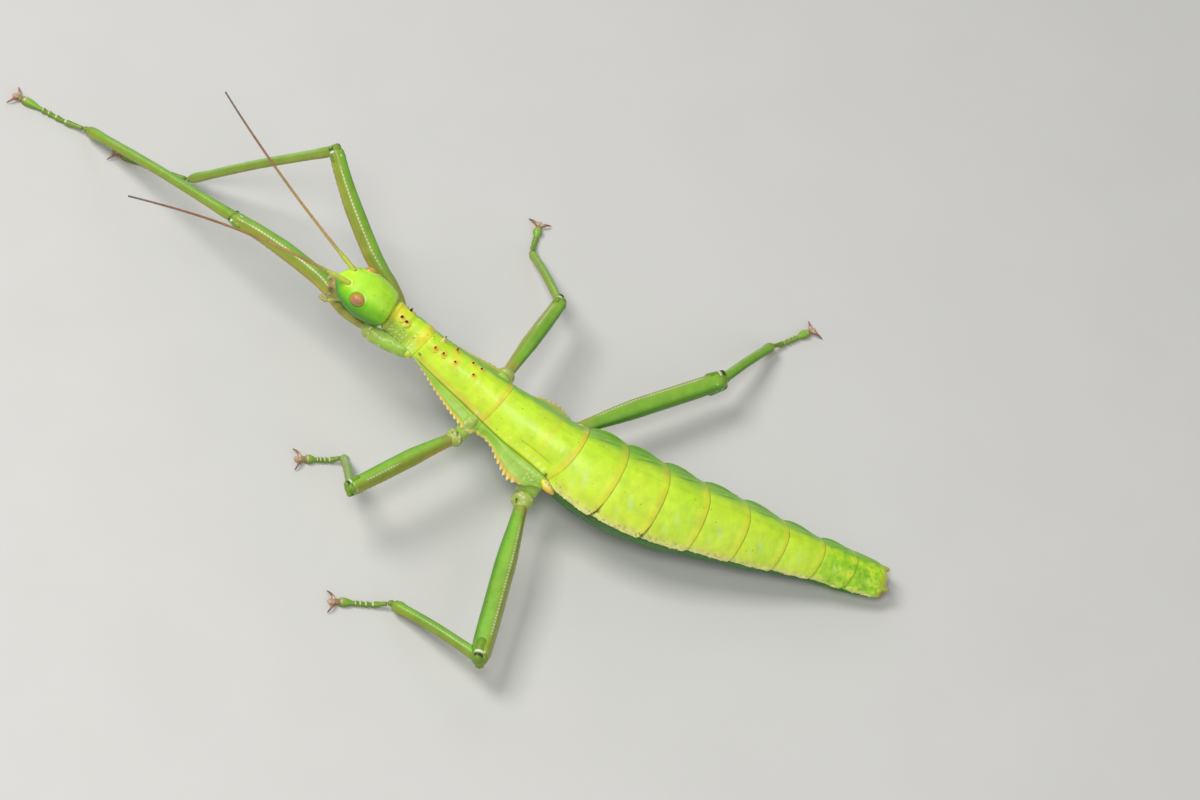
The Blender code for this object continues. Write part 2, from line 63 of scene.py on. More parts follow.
NECK = 9.0
MESOTHORAX_START = 15.2
METATHORAX_START = 28.3
ABDOMEN_BORDERS = (40.7, 47.2, 53.8, 60.2, 66.6, 73.0, 79.0, 84.3, 89.6)
TOP = ((9.0, 1.95), (15.2, 1.9), (28.3, 3.0), (36.0, 4.25), (40.7, 4.75), (47.2, 5.05), (53.8, 5.0),
       (60.2, 4.5), (66.6, 3.9), (73.0, 3.25), (79.0, 2.75), (84.3, 2.4), (88.0, 1.95), (90.0, 1.5))
BELLY = ((9.0, 2.2), (15.2, 2.9), (24.0, 3.8), (28.3, 4.3), (36.0, 4.9), (40.7, 5.2), (47.2, 5.9),
         (53.8, 5.7), (60.2, 5.0), (66.6, 4.3), (73.0, 3.6), (79.0, 2.7), (84.3, 1.6), (90.0, 0.6))
FOLD_WIDTH = ((38.0, 5.7), (40.7, 6.2), (47.2, 7.0), (53.8, 6.85), (60.2, 6.1), (66.6, 5.5),
              (73.0, 4.5), (79.0, 3.7), (84.3, 3.45), (88.0, 3.1), (90.0, 2.45))
FOLD_HEIGHT = ((38.0, -0.6), (40.7, 0.1), (47.2, 0.4), (60.2, 0.35), (73.0, 0.2), (79.0, 0.1),
               (84.3, 0.0), (88.0, -0.15), (90.0, -0.25))
ROOF_POWER = 1.7              # 1 gives the abdomen's back the section of a roof, 2 of a vault
CARINA_WIDTH = ((9.0, 2.4), (15.2, 2.75), (20.0, 3.2), (24.0, 3.5), (28.3, 4.0), (32.0, 4.5),
                (36.0, 4.7), (40.7, 5.5))
CARINA_DROP = ((9.0, 2.4), (15.2, 2.7), (21.0, 2.9), (28.3, 3.35), (36.0, 3.8), (40.7, 4.4))
FLANGE_WIDTH = ((9.0, 2.5), (15.2, 2.9), (18.0, 3.5), (20.0, 4.1), (24.0, 5.3), (27.2, 5.9),
                (28.3, 5.6), (29.4, 5.0), (30.6, 5.2), (33.0, 6.6), (35.6, 7.4), (37.2, 7.1),
                (38.6, 6.2), (40.7, 5.7))
FLANGE_DROP = ((9.0, 2.8), (15.2, 3.0), (21.0, 4.0), (28.3, 4.9), (32.0, 5.3), (36.0, 6.3), (40.7, 6.2))
HEAD_HEADING, HEAD_PITCH, HEAD_ROLL = -1.3, 17.8, -3.5
NECK_SIDE, NECK_HEIGHT = 0.35, 0.15
HEAD_WIDTH = ((0.3, 1.25), (0.9, 2.0), (2.0, 2.7), (3.6, 3.15), (5.2, 3.35), (6.8, 3.2),
              (8.0, 2.85), (8.62, 2.4))
HEAD_TOP = ((0.3, 0.95), (0.9, 1.75), (2.0, 2.5), (3.6, 3.1), (5.2, 3.25), (6.8, 3.0),
            (8.0, 2.5), (8.62, 2.0))
HEAD_BOTTOM = ((0.3, 1.15), (0.9, 1.8), (2.0, 2.5), (3.6, 2.85), (5.2, 2.85), (6.8, 2.6),
               (8.0, 2.25), (8.62, 1.9))
EYE_STATION, EYE_SIDE, EYE_HEIGHT = 3.5, 2.53, 1.6
EYE_RADIUS = 1.05
EYE_SQUASH = (0.72, 1.0, 0.95)
ANTENNA_LENGTH = 31.4
ANTENNA_ROOT = (1.3, 1.2, 1.9)
ANTENNA_AIM = {"left": (5.4, 5.5), "right": (-35.2, 4.6)}
ANTENNA_RISE = {"left": 1.2, "right": 0.3}          # the feelers arch this high over a straight line

PRONOTUM_SPINES = ((10.6, 0.85, 0.7), (11.0, -0.7, 0.8), (11.5, 0.9, 0.55))
MESONOTUM_SPINES = ((16.7, 1.1, 0.7), (16.9, -0.4, 1.3), (18.05, 1.05, 0.7), (19.2, -0.4, 0.9),
                    (20.0, 0.95, 0.5), (22.0, -0.4, 0.5), (23.0, 0.9, 0.6), (23.4, -0.45, 0.5))
SPINES = PRONOTUM_SPINES + MESONOTUM_SPINES          # station, signed side and height

# Legs.  Root: station, side distance and drop where the thigh leaves the coxa; the coxa starts at
# the hip, inside the thorax.
HIP = {"fore": (13.2, 2.3, 1.9), "mid": (26.8, 4.3, 1.6), "hind": (38.2, 4.6, 2.6)}
LEG_ROOT = {"fore_left": (8.9, 3.0, 2.6), "fore_right": (12.6, 2.6, 4.0), "mid": (26.9, 5.8, 3.6),
            "hind": (38.3, 6.0, 4.5)}
THIGH_LENGTH = {"fore": 26.6, "mid": 19.0, "hind": 27.0}
SHIN_LENGTH = {"fore": 31.0, "mid": 14.8, "hind": 15.3}
FOOT_LENGTH = {"fore": 9.6, "mid": 4.6, "hind": 6.3}
LEG_THICKNESS = {"fore": (1.2, 2.4, 2.15, 1.5), "mid": (1.7, 2.35, 2.25, 1.25),
                 "hind": (1.9, 3.0, 3.0, 1.6)}
COXA_RADIUS = {"fore": 1.25, "mid": 1.15, "hind": 1.6}
LEG_POSE = {
    "fore_left": (-25.8, -5.5, -28.1, -7.4),
    "fore_right": (-36.9, 28.1, -15.0, -0.9),
    "mid_left": (54.9, 2.1, -76.4, 23.8),
    "mid_right": (-101.0, -7.0, -62.0, -85.0),
    "hind_left": (94.8, -2.3, -22.8, 20.3),
    "hind_right": (-132.3, -2.0, -113.8, -128.0),
}
FORE_BOW = ((0.0, 0.0), (0.12, -0.15), (0.2, 0.1), (0.3, 0.72), (0.42, 1.0), (0.64, 0.9), (0.83, 0.56),
            (1.0, 0.0))
BOW_INWARD, BOW_UP = 1.17, 0.33       # reach of the fore thigh's bow beside the head
ANKLE_HEIGHT = 1.35
FOOT_HEIGHT = 0.45
PAD_RADIUS, WAIST_RADIUS = 0.52, 0.37
JOINT_GAP = 0.12
CLAW_LENGTH, CLAW_THICK = 1.9, 0.55
CLAW_SPREAD = 74.0                    # degrees the claws' roots stand off the foot's direction
TARSUS_SHARES = (0.30, 0.15, 0.12, 0.10, 0.33)     # lengths of the foot's five joints
FOOT_CAP_RINGS = 5                    # rings of the rounded ends of those joints
KEEL_TURN = math.radians(68)          # the pale line of a leg lies this far round from its side
THIGH_TEETH = {"fore": 0.06, "mid": 0.06, "hind": 0.12}     # share they stand out by
TAN_UNTIL = {"fore": 0.24, "mid": 0.12, "hind": 0.07}       # share of the thigh that starts tan
FIRST_DASH = {"fore": 0.30, "mid": 0.55, "hind": 0.13}      # share where the pale line starts
SHIN_SHAPE = ((0, 1.0), (0.06, 1.10), (0.16, 0.98), (0.5, 0.94), (0.88, 0.94), (0.97, 1.05),
              (1.0, 0.95))


# ------------------------------------------------------------------ colours
def tint(red, green, blue):
    """Linear colour of a display colour given from 0 to 255."""
    values = np.array((red, green, blue)) / 255.0
    return np.where(values <= 0.04045, values / 12.92, ((values + 0.055) / 1.055) ** 2.4)


LIME = tint(178, 226, 38)
YELLOW_LIME = tint(208, 236, 62)
GREEN = tint(124, 194, 18)
DEEP_GREEN = tint(72, 144, 14)
BAND_YELLOW = tint(228, 216, 58)
BAND_ORANGE = tint(226, 180, 62)
KEEL_TAN = tint(214, 182, 82)
TOOTH_PALE = tint(240, 232, 186)
SEAM_BROWN = tint(150, 126, 40)
SEAM_GREEN = tint(84, 108, 26)
PLEURA = tint(150, 194, 62)
PALE_STREAK = tint(196, 230, 136)
SHADED_BELLY_GREEN = tint(62, 104, 58)
FOLD_TAN = tint(208, 208, 92)
FOLD_PALE = tint(220, 216, 160)
TAN = tint(172, 150, 84)
ROSY_BROWN = tint(158, 112, 84)
DARK_BROWN = tint(58, 32, 20)
RED_BROWN = tint(120, 44, 24)
BLACK = tint(22, 14, 12)
LEG_GREEN = tint(84, 142, 28)
LEG_LIGHT = tint(138, 188, 66)
LEG_OLIVE = tint(142, 158, 56)
ORANGE_TAN = tint(190, 148, 74)
COLLAR_GREEN = tint(142, 172, 62)
FOLD_SHADE_GREEN = tint(76, 142, 18)
CROWN = tint(176, 232, 56)
TEMPLE = tint(128, 202, 34)
CHEEK = tint(70, 148, 20)
EYE_RING = tint(206, 240, 150)
EYE_RUST = tint(176, 106, 66)
EYE_SHADE = tint(112, 62, 30)
EYE_JOINT = tint(110, 62, 34)
SPINE_ROSY = tint(236, 206, 178)
SPINE_YELLOW = tint(232, 214, 110)
LOBE_BROWN = tint(190, 96, 44)
CLAW_BROWN = tint(150, 96, 82)
FEELER_GREEN = tint(186, 202, 72)
FEELER_TAN = tint(172, 140, 78)
FEELER_BROWN = tint(132, 96, 62)
FEELER_GREY = tint(112, 100, 88)
SPECK = tint(96, 104, 22)
IVORY = tint(226, 222, 188)
WHITE = tint(240, 240, 226)
GLASSY = tint(172, 190, 98)


# ------------------------------------------------------------------ curves and noise
def along(knots, x):
    """Smooth value of an outline at x: the same monotone Hermite curve as in part.py."""
    xs, ys = np.array(knots, dtype=float).T
    slope = np.diff(ys) / np.diff(xs)
    product, total = slope[:-1] * slope[1:], slope[:-1] + slope[1:]
    inner = np.where(product > 0, 2 * product / np.where(product > 0, total, 1.0), 0.0)
    tangent = np.concatenate([slope[:1], inner, slope[-1:]])
    x = np.clip(x, xs[0], xs[-1])
    i = np.clip(np.searchsorted(xs, x, side="right") - 1, 0, len(xs) - 2)
    h = xs[i + 1] - xs[i]
    t = (x - xs[i]) / h
    return (ys[i] * (1 + 2 * t) * (1 - t) ** 2 + ys[i + 1] * t * t * (3 - 2 * t)
            + h * tangent[i] * t * (1 - t) ** 2 - h * tangent[i + 1] * t * t * (1 - t))


def smooth(a, b, x):
    """0 at a, 1 at b and an S-curve between; a may be above b."""
    t = np.clip((x - a) / (b - a), 0.0, 1.0)
    return t * t * (3 - 2 * t)


def between(a, b, c, d, x):
    """0 up to a, 1 from b to c, 0 from d on, with S-curves between."""
    return smooth(a, b, x) * smooth(d, c, x)


def bell(x, centre, reach):
    """1 at the centre, 0 at the reach and beyond."""
    t = np.clip(1 - np.abs(x - centre) / reach, 0.0, 1.0)
    return t * t * (3 - 2 * t)


def ramp(x, a, b):
    """0 at a, 1 at b and a straight line between."""
    return np.clip((x - a) / (b - a), 0.0, 1.0)


def noise(points, seed=0):
    """Smooth value noise between -1 and 1 over points (..., 3), one cell a unit."""
    cell = np.floor(points).astype(np.int64)
    part = points - cell
    part = part * part * (3 - 2 * part)
    total = np.zeros(points.shape[:-1])
    for corner in itertools.product((0, 1), repeat=3):
        at = cell + np.array(corner)
        code = at[..., 0] * 73856093 ^ at[..., 1] * 19349663 ^ at[..., 2] * 83492791 ^ seed * 7919
        code = ((code ^ (code >> 13)) * 1274126177) & 0x7FFFFFFF
        value = (code >> 8) % 4096 / 2048.0 - 1.0
        weight = np.prod(np.where(corner, part, 1 - part), axis=-1)
        total += value * weight
    return total


def layered(points, seed=0, layers=3):
    """Noise with finer layers added."""
    return sum(noise(points * 2 ** k, seed + k) / 2 ** k for k in range(layers)) / 1.75


def unit(vectors):
    """Vectors brought to the length 1."""
    return vectors / np.linalg.norm(vectors, axis=-1, keepdims=True)


def aim(heading, pitch):
    """Unit directions with a heading about +Z (0 looks along -Y) and a pitch above the floor."""
    h, p = np.radians(heading), np.radians(pitch)
    return np.stack([np.sin(h) * np.cos(p), -np.cos(h) * np.cos(p), np.sin(p) + 0 * h], axis=-1)


def forward_at(station):
    """Unit direction the body faces at stations."""
    return aim(along(HEADING, station), along(PITCH, station))


def axes_of(forward):
    """Forward, left and up of something that faces along a direction."""
    left = unit(np.cross(UP, forward))
    return forward, left, np.cross(forward, left)


def trace_body_line():
    """Points of the body line every STEP from the head to the tail."""
    middles = (np.arange(int(BODY_LENGTH / STEP)) + 0.5) * STEP
    line = np.vstack([np.zeros(3), np.cumsum(-forward_at(middles) * STEP, axis=0)])
    return line + UP * (TAIL_HEIGHT - line[int(TAIL_STATION / STEP), 2])


BODY_LINE = trace_body_line()
LINE_STATIONS = np.arange(len(BODY_LINE)) * STEP


def place(station, side, height):
    """Points of the body at stations, distances to the left and heights above the body line."""
    station, side, height = (np.asarray(v, dtype=float) for v in (station, side, height))
    base = np.stack([np.interp(station, LINE_STATIONS, BODY_LINE[:, i]) for i in range(3)], axis=-1)
    _, left, up = axes_of(forward_at(station))
    return base + left * side[..., None] + up * height[..., None]


def head_axes():
    """Forward, left and up of the turned head."""
    forward, left, up = axes_of(aim(HEAD_HEADING, HEAD_PITCH))
    roll = math.radians(HEAD_ROLL)
    return (forward, left * math.cos(roll) + up * math.sin(roll),
            up * math.cos(roll) - left * math.sin(roll))


HEAD_FORWARD, HEAD_LEFT, HEAD_UP = head_axes()


def place_head(station, side, height):
    """Points of the head, in the turned frame that sits on the neck."""
    station, side, height = (np.asarray(v, dtype=float) for v in (station, side, height))
    return (place(NECK, NECK_SIDE, NECK_HEIGHT) + HEAD_FORWARD * (NECK - station)[..., None]
            + HEAD_LEFT * side[..., None] + HEAD_UP * height[..., None])


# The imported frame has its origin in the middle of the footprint: the left eye tells how far away.
eye_low, eye_high = (np.array(corner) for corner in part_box("eye_left"))
OFFSET = (eye_low + eye_high) / 2 / MM - place_head(EYE_STATION, EYE_SIDE, EYE_HEIGHT)
OFFSET[2] = 0.0


# ------------------------------------------------------------------ shells
def add_object(name, data):
    """New object of the scene."""
    item = bpy.data.objects.new(name, data)
    bpy.context.collection.objects.link(item)
    return item


class Shells:
    """Closed lofted shells that become one mesh, each with its paint and its gloss."""

    def __init__(self, name):
        self.name = name
        self.points, self.paints, self.glosses, self.faces = [], [], [], []
        self.count = 0

    def add(self, grid, paint, gloss=0.5):
        """Add a shell from a grid (rings, around, 3) whose first and last rings are closed."""
        rings, around = grid.shape[:2]
        paint = np.broadcast_to(paint, grid.shape)
        gloss = np.broadcast_to(gloss, grid.shape[:2])
        index = np.arange(rings * around).reshape(rings, around) + self.count
        nxt = np.roll(index, -1, axis=1)
        quads = np.stack([index[:-1], nxt[:-1], nxt[1:], index[1:]], axis=-1).reshape(-1, 4)
        first, last = self.count + rings * around, self.count + rings * around + 1
        front = [(int(b), int(a), first) for a, b in zip(index[0], nxt[0])]
        back = [(int(a), int(b), last) for a, b in zip(index[-1], nxt[-1])]
        self.faces += quads.tolist() + front + back
        for store, values in ((self.points, grid), (self.paints, paint)):
            store.append(values.reshape(-1, 3))
            store.append(np.stack([values[0].mean(axis=0), values[-1].mean(axis=0)]))
        self.glosses.append(gloss.reshape(-1))
        self.glosses.append(np.array([gloss[0].mean(), gloss[-1].mean()]))
        self.count += rings * around + 2

    def build(self, material):
        """Make the object in the scene, in metres and in the frame's place."""
        points = (np.vstack(self.points) + OFFSET) * MM
        mesh = bpy.data.meshes.new(self.name)
        mesh.from_pydata(points.tolist(), [], self.faces)
        paint = np.hstack([np.clip(np.vstack(self.paints), 0, 1), np.ones((len(points), 1))])
        mesh.attributes.new("paint", "FLOAT_COLOR", "POINT").data.foreach_set("color", paint.ravel())
        gloss = np.concatenate(self.glosses)
        mesh.attributes.new("gloss", "FLOAT", "POINT").data.foreach_set("value", gloss)
        mesh.polygons.foreach_set("use_smooth", [True] * len(mesh.polygons))
        mesh.materials.append(material)
        mesh.update()
        return add_object(self.name, mesh)


def grid_normals(grid):
    """Outward normals of a lofted grid whose rings run counter-clockwise seen from the front."""
    along_way = np.gradient(grid, axis=0)
    around_way = np.roll(grid, -1, axis=1) - np.roll(grid, 1, axis=1)
    normal = np.cross(around_way, along_way)
    length = np.linalg.norm(normal, axis=-1, keepdims=True)
    return normal / np.maximum(length, 1e-12)


def raised(grid, relief):
    """A grid moved out along its normals by a relief."""
    return grid + grid_normals(grid) * relief[..., None]


def above_floor(grid):
    """A grid with its lowest points flattened onto the floor."""
    grid[..., 2] = np.maximum(grid[..., 2], 0.0)
    return grid


def mix(first, second, mask):
    """Blend of two colours, or grids of colours, by a mask."""
    return first + (second - first) * np.clip(mask, 0.0, 1.0)[..., None]


def coats(paint, *layers):
    """Paint with colours laid over it in turn, each by its own mask."""
    for colour, mask in layers:
        paint = mix(paint, colour, mask)
    return paint


CAP_RINGS = 6                 # rings of a rounded end


def sweep(path, radii, around, flat=1.0):
    """Rings across a path: their grid, and their angles from the left side upward."""
    direction = unit(np.gradient(path, axis=0))
    side = unit(np.cross(UP, direction))
    up = np.cross(direction, side)
    angle = np.arange(around) / around * 2 * math.pi
    radii = radii[:, None] * np.ones(around)
    grid = (path[:, None] + side[:, None] * (np.cos(angle) * radii)[..., None]
            + up[:, None] * (np.sin(angle) * radii * flat)[..., None])
    return grid, np.broadcast_to(angle, grid.shape[:2])


def rounded(path, radii, steps=CAP_RINGS, first=1.0, last=1.0):
    """Path and radii with a rounded cap past each end, as long as first or last radii."""
    turn = np.linspace(0, math.radians(84), steps + 1)[1:]
    before = unit(path[0] - path[1])
    after = unit(path[-1] - path[-2])
    head = [path[0] + before * radii[0] * first * math.sin(a) for a in turn[::-1]]
    tail = [path[-1] + after * radii[-1] * last * math.sin(a) for a in turn]
    return (np.vstack([head, path, tail]),
            np.concatenate([radii[0] * np.cos(turn[::-1]), radii, radii[-1] * np.cos(turn)]))


def rod(path, radii, around, flat=1.0, **caps):
    """Round-ended rod along a path: its grid, its angles and each ring's share of the way."""
    path, radii = rounded(path, radii, **caps)
    grid, angle = sweep(path, radii, around, flat)
    return grid, angle, np.linspace(0, 1, len(grid))[:, None] * np.ones_like(angle)


def oval(centre, axes, sizes, rings=16, around=24):
    """Egg-shaped grid around a centre; axes are its pole, side and up directions."""
    pole, side, up = axes
    turn = np.linspace(0.03, math.pi - 0.03, rings)
    angle = np.arange(around) / around * 2 * math.pi
    return (centre + pole * (-np.cos(turn) * sizes[0])[:, None, None]
            + side * (np.sin(turn)[:, None] * np.cos(angle) * sizes[1])[..., None]
            + up * (np.sin(turn)[:, None] * np.sin(angle) * sizes[2])[..., None])


# ------------------------------------------------------------------ trunk: outline
RING_STEP = 0.09
TRUNK_AROUND = 240
HEAD_FRONT, TAIL_TIP = -0.15, 89.75
TAIL_TURN = 88.2              # station from which the tail closes in a round end
HEAD_REAR, THORAX_FRONT = 8.55, 9.15
U_CARINA, U_EDGE, U_LIP = 0.42, 0.60, 0.68     # keel, toothed edge and its inner lip
FOLD_LIP = 0.035
FACE_START, FACE_DEPTH = 1.2, 1.4              # the face closes in front of this station
FACE_SLOPE = 0.3              # share by which it narrows in a millimetre there
CHEEK_SLIM = 0.24             # share by which the cheeks rise toward the mouth
BORDER_LEAN = {"left": 1.6, "right": -0.1}    # how far a plate's hind border runs forward at its folds
TOOTH_PITCH = 0.76
BLACK_DASHES = ((15.55, 0.87), (38.8, 0.98))   # station and share of the keel's distance


def head_half(s, u):
    """Side and height of the head's outline."""
    angle = math.pi * u
    ahead = np.maximum(FACE_START - s, 0)
    front = np.clip(1 - (ahead / FACE_DEPTH) ** 2, 0.004, 1) ** 0.75 * (1 - FACE_SLOPE * ahead)
    s = np.maximum(s, FACE_START)
    slim = 1 - CHEEK_SLIM * smooth(5.0, 1.0, s)
    depth = np.where(u < 0.5, along(HEAD_TOP, s), along(HEAD_BOTTOM, s) * slim)
    side = along(HEAD_WIDTH, s) * np.sin(angle) ** 0.94
    return side * front, depth * np.sign(np.cos(angle)) * np.abs(np.cos(angle)) ** 0.97 * front


def thorax_half(s, u):
    """Roofed back, keel, side plate with its toothed edge, and breast."""
    top, belly = along(TOP, s), along(BELLY, s)
    carina, drop = along(CARINA_WIDTH, s), along(CARINA_DROP, s)
    flange, flange_drop = along(FLANGE_WIDTH, s), along(FLANGE_DROP, s)
    roof, plate, lip, breast = (ramp(u, 0, U_CARINA), ramp(u, U_CARINA, U_EDGE),
                                ramp(u, U_EDGE, U_LIP), ramp(u, U_LIP, 1))
    side = carina * roof + (flange - carina) * plate - 0.55 * lip
    side = np.where(u > U_LIP, (flange - 0.55) * (1 - breast), side)
    height = top - drop * roof ** 2 - (flange_drop - drop) * (plate + 0.3 * plate * (1 - plate))
    lip_height = top - flange_drop - 0.5
    height = np.where(u > U_EDGE, height - 0.5 * lip, height)
    under = lip_height - (belly + lip_height) * (1 - (1 - breast) ** 1.7)
    return side, np.where(u > U_LIP, under, height)


def abdomen_half(s, u):
    """Roof-like plate above the side fold, softer belly below it."""
    top, belly = along(TOP, s), along(BELLY, s)
    width, fold = along(FOLD_WIDTH, s), along(FOLD_HEIGHT, s)
    dome = math.pi / 2 * ramp(u, 0, U_CARINA)
    lip = ramp(u, U_CARINA, U_CARINA + FOLD_LIP)
    under = math.pi / 2 * ramp(u, U_CARINA + FOLD_LIP, 1)
    side = np.where(u < U_CARINA, width * np.sin(dome), (width - 0.45 * lip) * np.cos(under))
    height = np.where(u < U_CARINA, fold + (top - fold) * (1 - np.sin(dome) ** ROOF_POWER),
                      fold - 0.15 * lip - (belly + fold) * np.sin(under))
    return side, height


def trunk_grids():
    """Stations, section places, signed sides and the outline grid of the trunk."""
    stations = np.arange(HEAD_FRONT, TAIL_TIP + RING_STEP / 2, RING_STEP)
    k = np.arange(TRUNK_AROUND)
    u = 1 - np.abs(1 - 2 * k / TRUNK_AROUND)
    sign = np.where(k <= TRUNK_AROUND // 2, 1.0, -1.0)
    s, u = np.meshgrid(stations, u, indexing="ij")
    to_thorax = smooth(HEAD_REAR, THORAX_FRONT, s)
    to_abdomen = smooth(38.8, 41.4, s)
    pairs = zip(head_half(s, u), thorax_half(s, u), abdomen_half(s, u))
    side, height = ((h * (1 - to_thorax) + t * to_thorax) * (1 - to_abdomen) + a * to_abdomen
                    for h, t, a in pairs)
    return s, u, sign * np.ones_like(s), side, height, to_thorax


S, U, SIGN, SIDE, HEIGHT, TO_THORAX = trunk_grids()
LATERAL = ramp(U, 0, U_CARINA)
BORDERS = np.array((-5.0, NECK, MESOTHORAX_START, METATHORAX_START) + ABDOMEN_BORDERS + (95.0,))
LEAN = np.where(SIGN > 0, BORDER_LEAN["left"], BORDER_LEAN["right"])
THORAX_LEAN = 0.25            # the borders of the thorax run forward this far at their sides
# Q is the station that follows the curve of the borders
Q = S + (THORAX_LEAN + (LEAN - THORAX_LEAN) * smooth(34.0, 42.0, S)) * LATERAL ** 2
PLATE = np.clip(np.searchsorted(BORDERS, Q, side="right") - 1, 0, len(BORDERS) - 2)
TO_REAR, FROM_FRONT = BORDERS[PLATE + 1] - Q, Q - BORDERS[PLATE]
SHARE = FROM_FRONT / (BORDERS[PLATE + 1] - BORDERS[PLATE])
ON_HEAD = 1 - TO_THORAX
ON_THORAX = TO_THORAX * smooth(41.2, 40.0, S)
ON_ABDOMEN = smooth(40.0, 41.2, S)
ON_PRONOTUM = TO_THORAX * smooth(15.3, 15.1, Q)
BODY_NOISE = np.stack([S, SIGN * U * 14.0, np.zeros_like(S)], axis=-1)   # noise follows the body


def saw(s, pitch, sharp=0.38):
    """Rounded teeth of height 1 every pitch."""
    part = s / pitch - np.floor(s / pitch)
    return np.clip(1 - np.abs(part - 0.5) / sharp, 0.0, 1.0)


def outline_shift():
    """How far the outline stands out sideways: teeth, scalloped folds, crenulated edges."""
    uneven = 0.8 + 0.35 * noise(np.stack([S / TOOTH_PITCH, SIGN * 5, 0 * S], axis=-1), 3)
    teeth = saw(S, TOOTH_PITCH, 0.42) * uneven * bell(U, U_EDGE, 0.035)
    front_edge = 0.30 * between(15.6, 17.0, 26.4, 27.4, S)
    rear_edge = (0.30 + 0.34 * smooth(30.0, 34.5, S)) * between(28.9, 29.8, 35.7, 36.6, S)
    notch = smooth(METATHORAX_START - 0.7, METATHORAX_START, S) * bell(U, U_EDGE, 0.12)
    notch = notch * smooth(METATHORAX_START + 0.5, METATHORAX_START, S)
    shift = teeth * (front_edge + rear_edge) - 0.5 * notch
    part = np.clip(SHARE, 0, 1)
    flare = np.where(SIGN > 0, 0.32 * (part ** 1.6 - 0.5),
                     0.62 * (np.sin(math.pi * part ** 0.75) - 0.55))
    scallop = flare * bell(U, U_CARINA, 0.20) * ON_ABDOMEN
    crinkle = noise(np.stack([S * 3.1, SIGN * 9, 0 * S], axis=-1), 8) * 0.10
    fine = noise(np.stack([S * 6.5, SIGN * 4, 0 * S], axis=-1), 9) * 0.06
    edge = (crinkle + fine) * bell(U, U_CARINA, 0.025) * ON_ABDOMEN * (0.4 + 0.6 * (SIGN > 0))
    return shift + scallop * smooth(86.0, 80.0, S) + edge


GRAIN_WAVE = 5.0              # waves of the grains, in radians a millimetre


def granules():
    """Small glassy grains: sides of the pronotum, ends of the side plates, strip before the lobes."""
    warp = 1.9 * noise(BODY_NOISE * 1.3, 93)
    dots = np.abs(np.sin(S * GRAIN_WAVE + warp) * np.sin(U * 14.0 * GRAIN_WAVE - warp))
    pattern = smooth(0.55, 0.85, dots) * smooth(-0.25, 0.15, noise(BODY_NOISE * 1.1, 94))
    collar = between(9.3, 9.9, 14.0, 15.0, S) * smooth(0.45, 0.65, LATERAL) * (U < 0.62)
    plate_end = between(25.0, 26.3, 27.8, 28.2, S) * bell(U, 0.52, 0.09)
    plate_tip = between(28.7, 29.1, 30.0, 31.0, S) * bell(U, 0.56, 0.08)
    behind = between(36.0, 36.8, 38.8, 39.5, S) * bell(U, 0.53, 0.10)
    return pattern * np.clip(collar + plate_end + plate_tip + behind, 0, 1)


TUBERCLES = (       # station, side share of the keel's distance, radius, height
    (11.4, 0.55, 0.35, 0.14), (12.6, 0.8, 0.30, 0.12), (10.3, 0.75, 0.28, 0.12),
    (37.4, 0.95, 0.28, 0.10), (38.2, 0.96, 0.32, 0.12), (32.3, 0.90, 0.22, 0.08),
    (33.5, 0.93, 0.24, 0.08), (34.8, 0.89, 0.22, 0.07), (35.7, 0.95, 0.26, 0.09))
TUBERCLES += tuple((station, -side, *rest) for station, side, *rest in TUBERCLES)
# and three on the left side only
TUBERCLES += ((13.4, 0.6, 0.25, 0.08), (36.6, 0.93, 0.30, 0.10), (26.6, 0.96, 0.30, 0.08))
FLANK_FOLDS = ((0.72, 0.10), (0.56, 0.22), (0.42, 0.24))     # side share at the rear, spread forward


def near(station, lateral, reach):
    """Bell around a place of the trunk given by station and signed lateral share."""
    width = np.where(S < 40, along(CARINA_WIDTH, S), along(FOLD_WIDTH, S))
    gap = np.hypot(S - station, (SIGN * LATERAL - lateral) * width)
    return bell(gap, 0.0, reach) * (U < U_CARINA + 0.1)


def head_gap(station, side, height):
    """Distance in the head's frame from a place, for every point of the trunk grid."""
    return np.sqrt((S - station) ** 2 + (SIGN * SIDE - side) ** 2 + (HEIGHT - height) ** 2)


def flank_folds():
    """Thin long folds of the abdomen's right flank, spreading forward from a plate's rear corner."""
    folds = np.zeros_like(S)
    wave = 0.012 * noise(BODY_NOISE * 0.6, 37)
    for start, spread in FLANK_FOLDS:
        line = start - spread * np.clip(1 - SHARE, 0, 1) ** 0.8
        folds = np.maximum(folds, bell(LATERAL, line + wave, 0.045) * bell(SHARE, 0.50, 0.48))
    return folds * (U < U_CARINA) * (SIGN < 0)


GRAINS = granules()
FOLDS = flank_folds() * ON_ABDOMEN


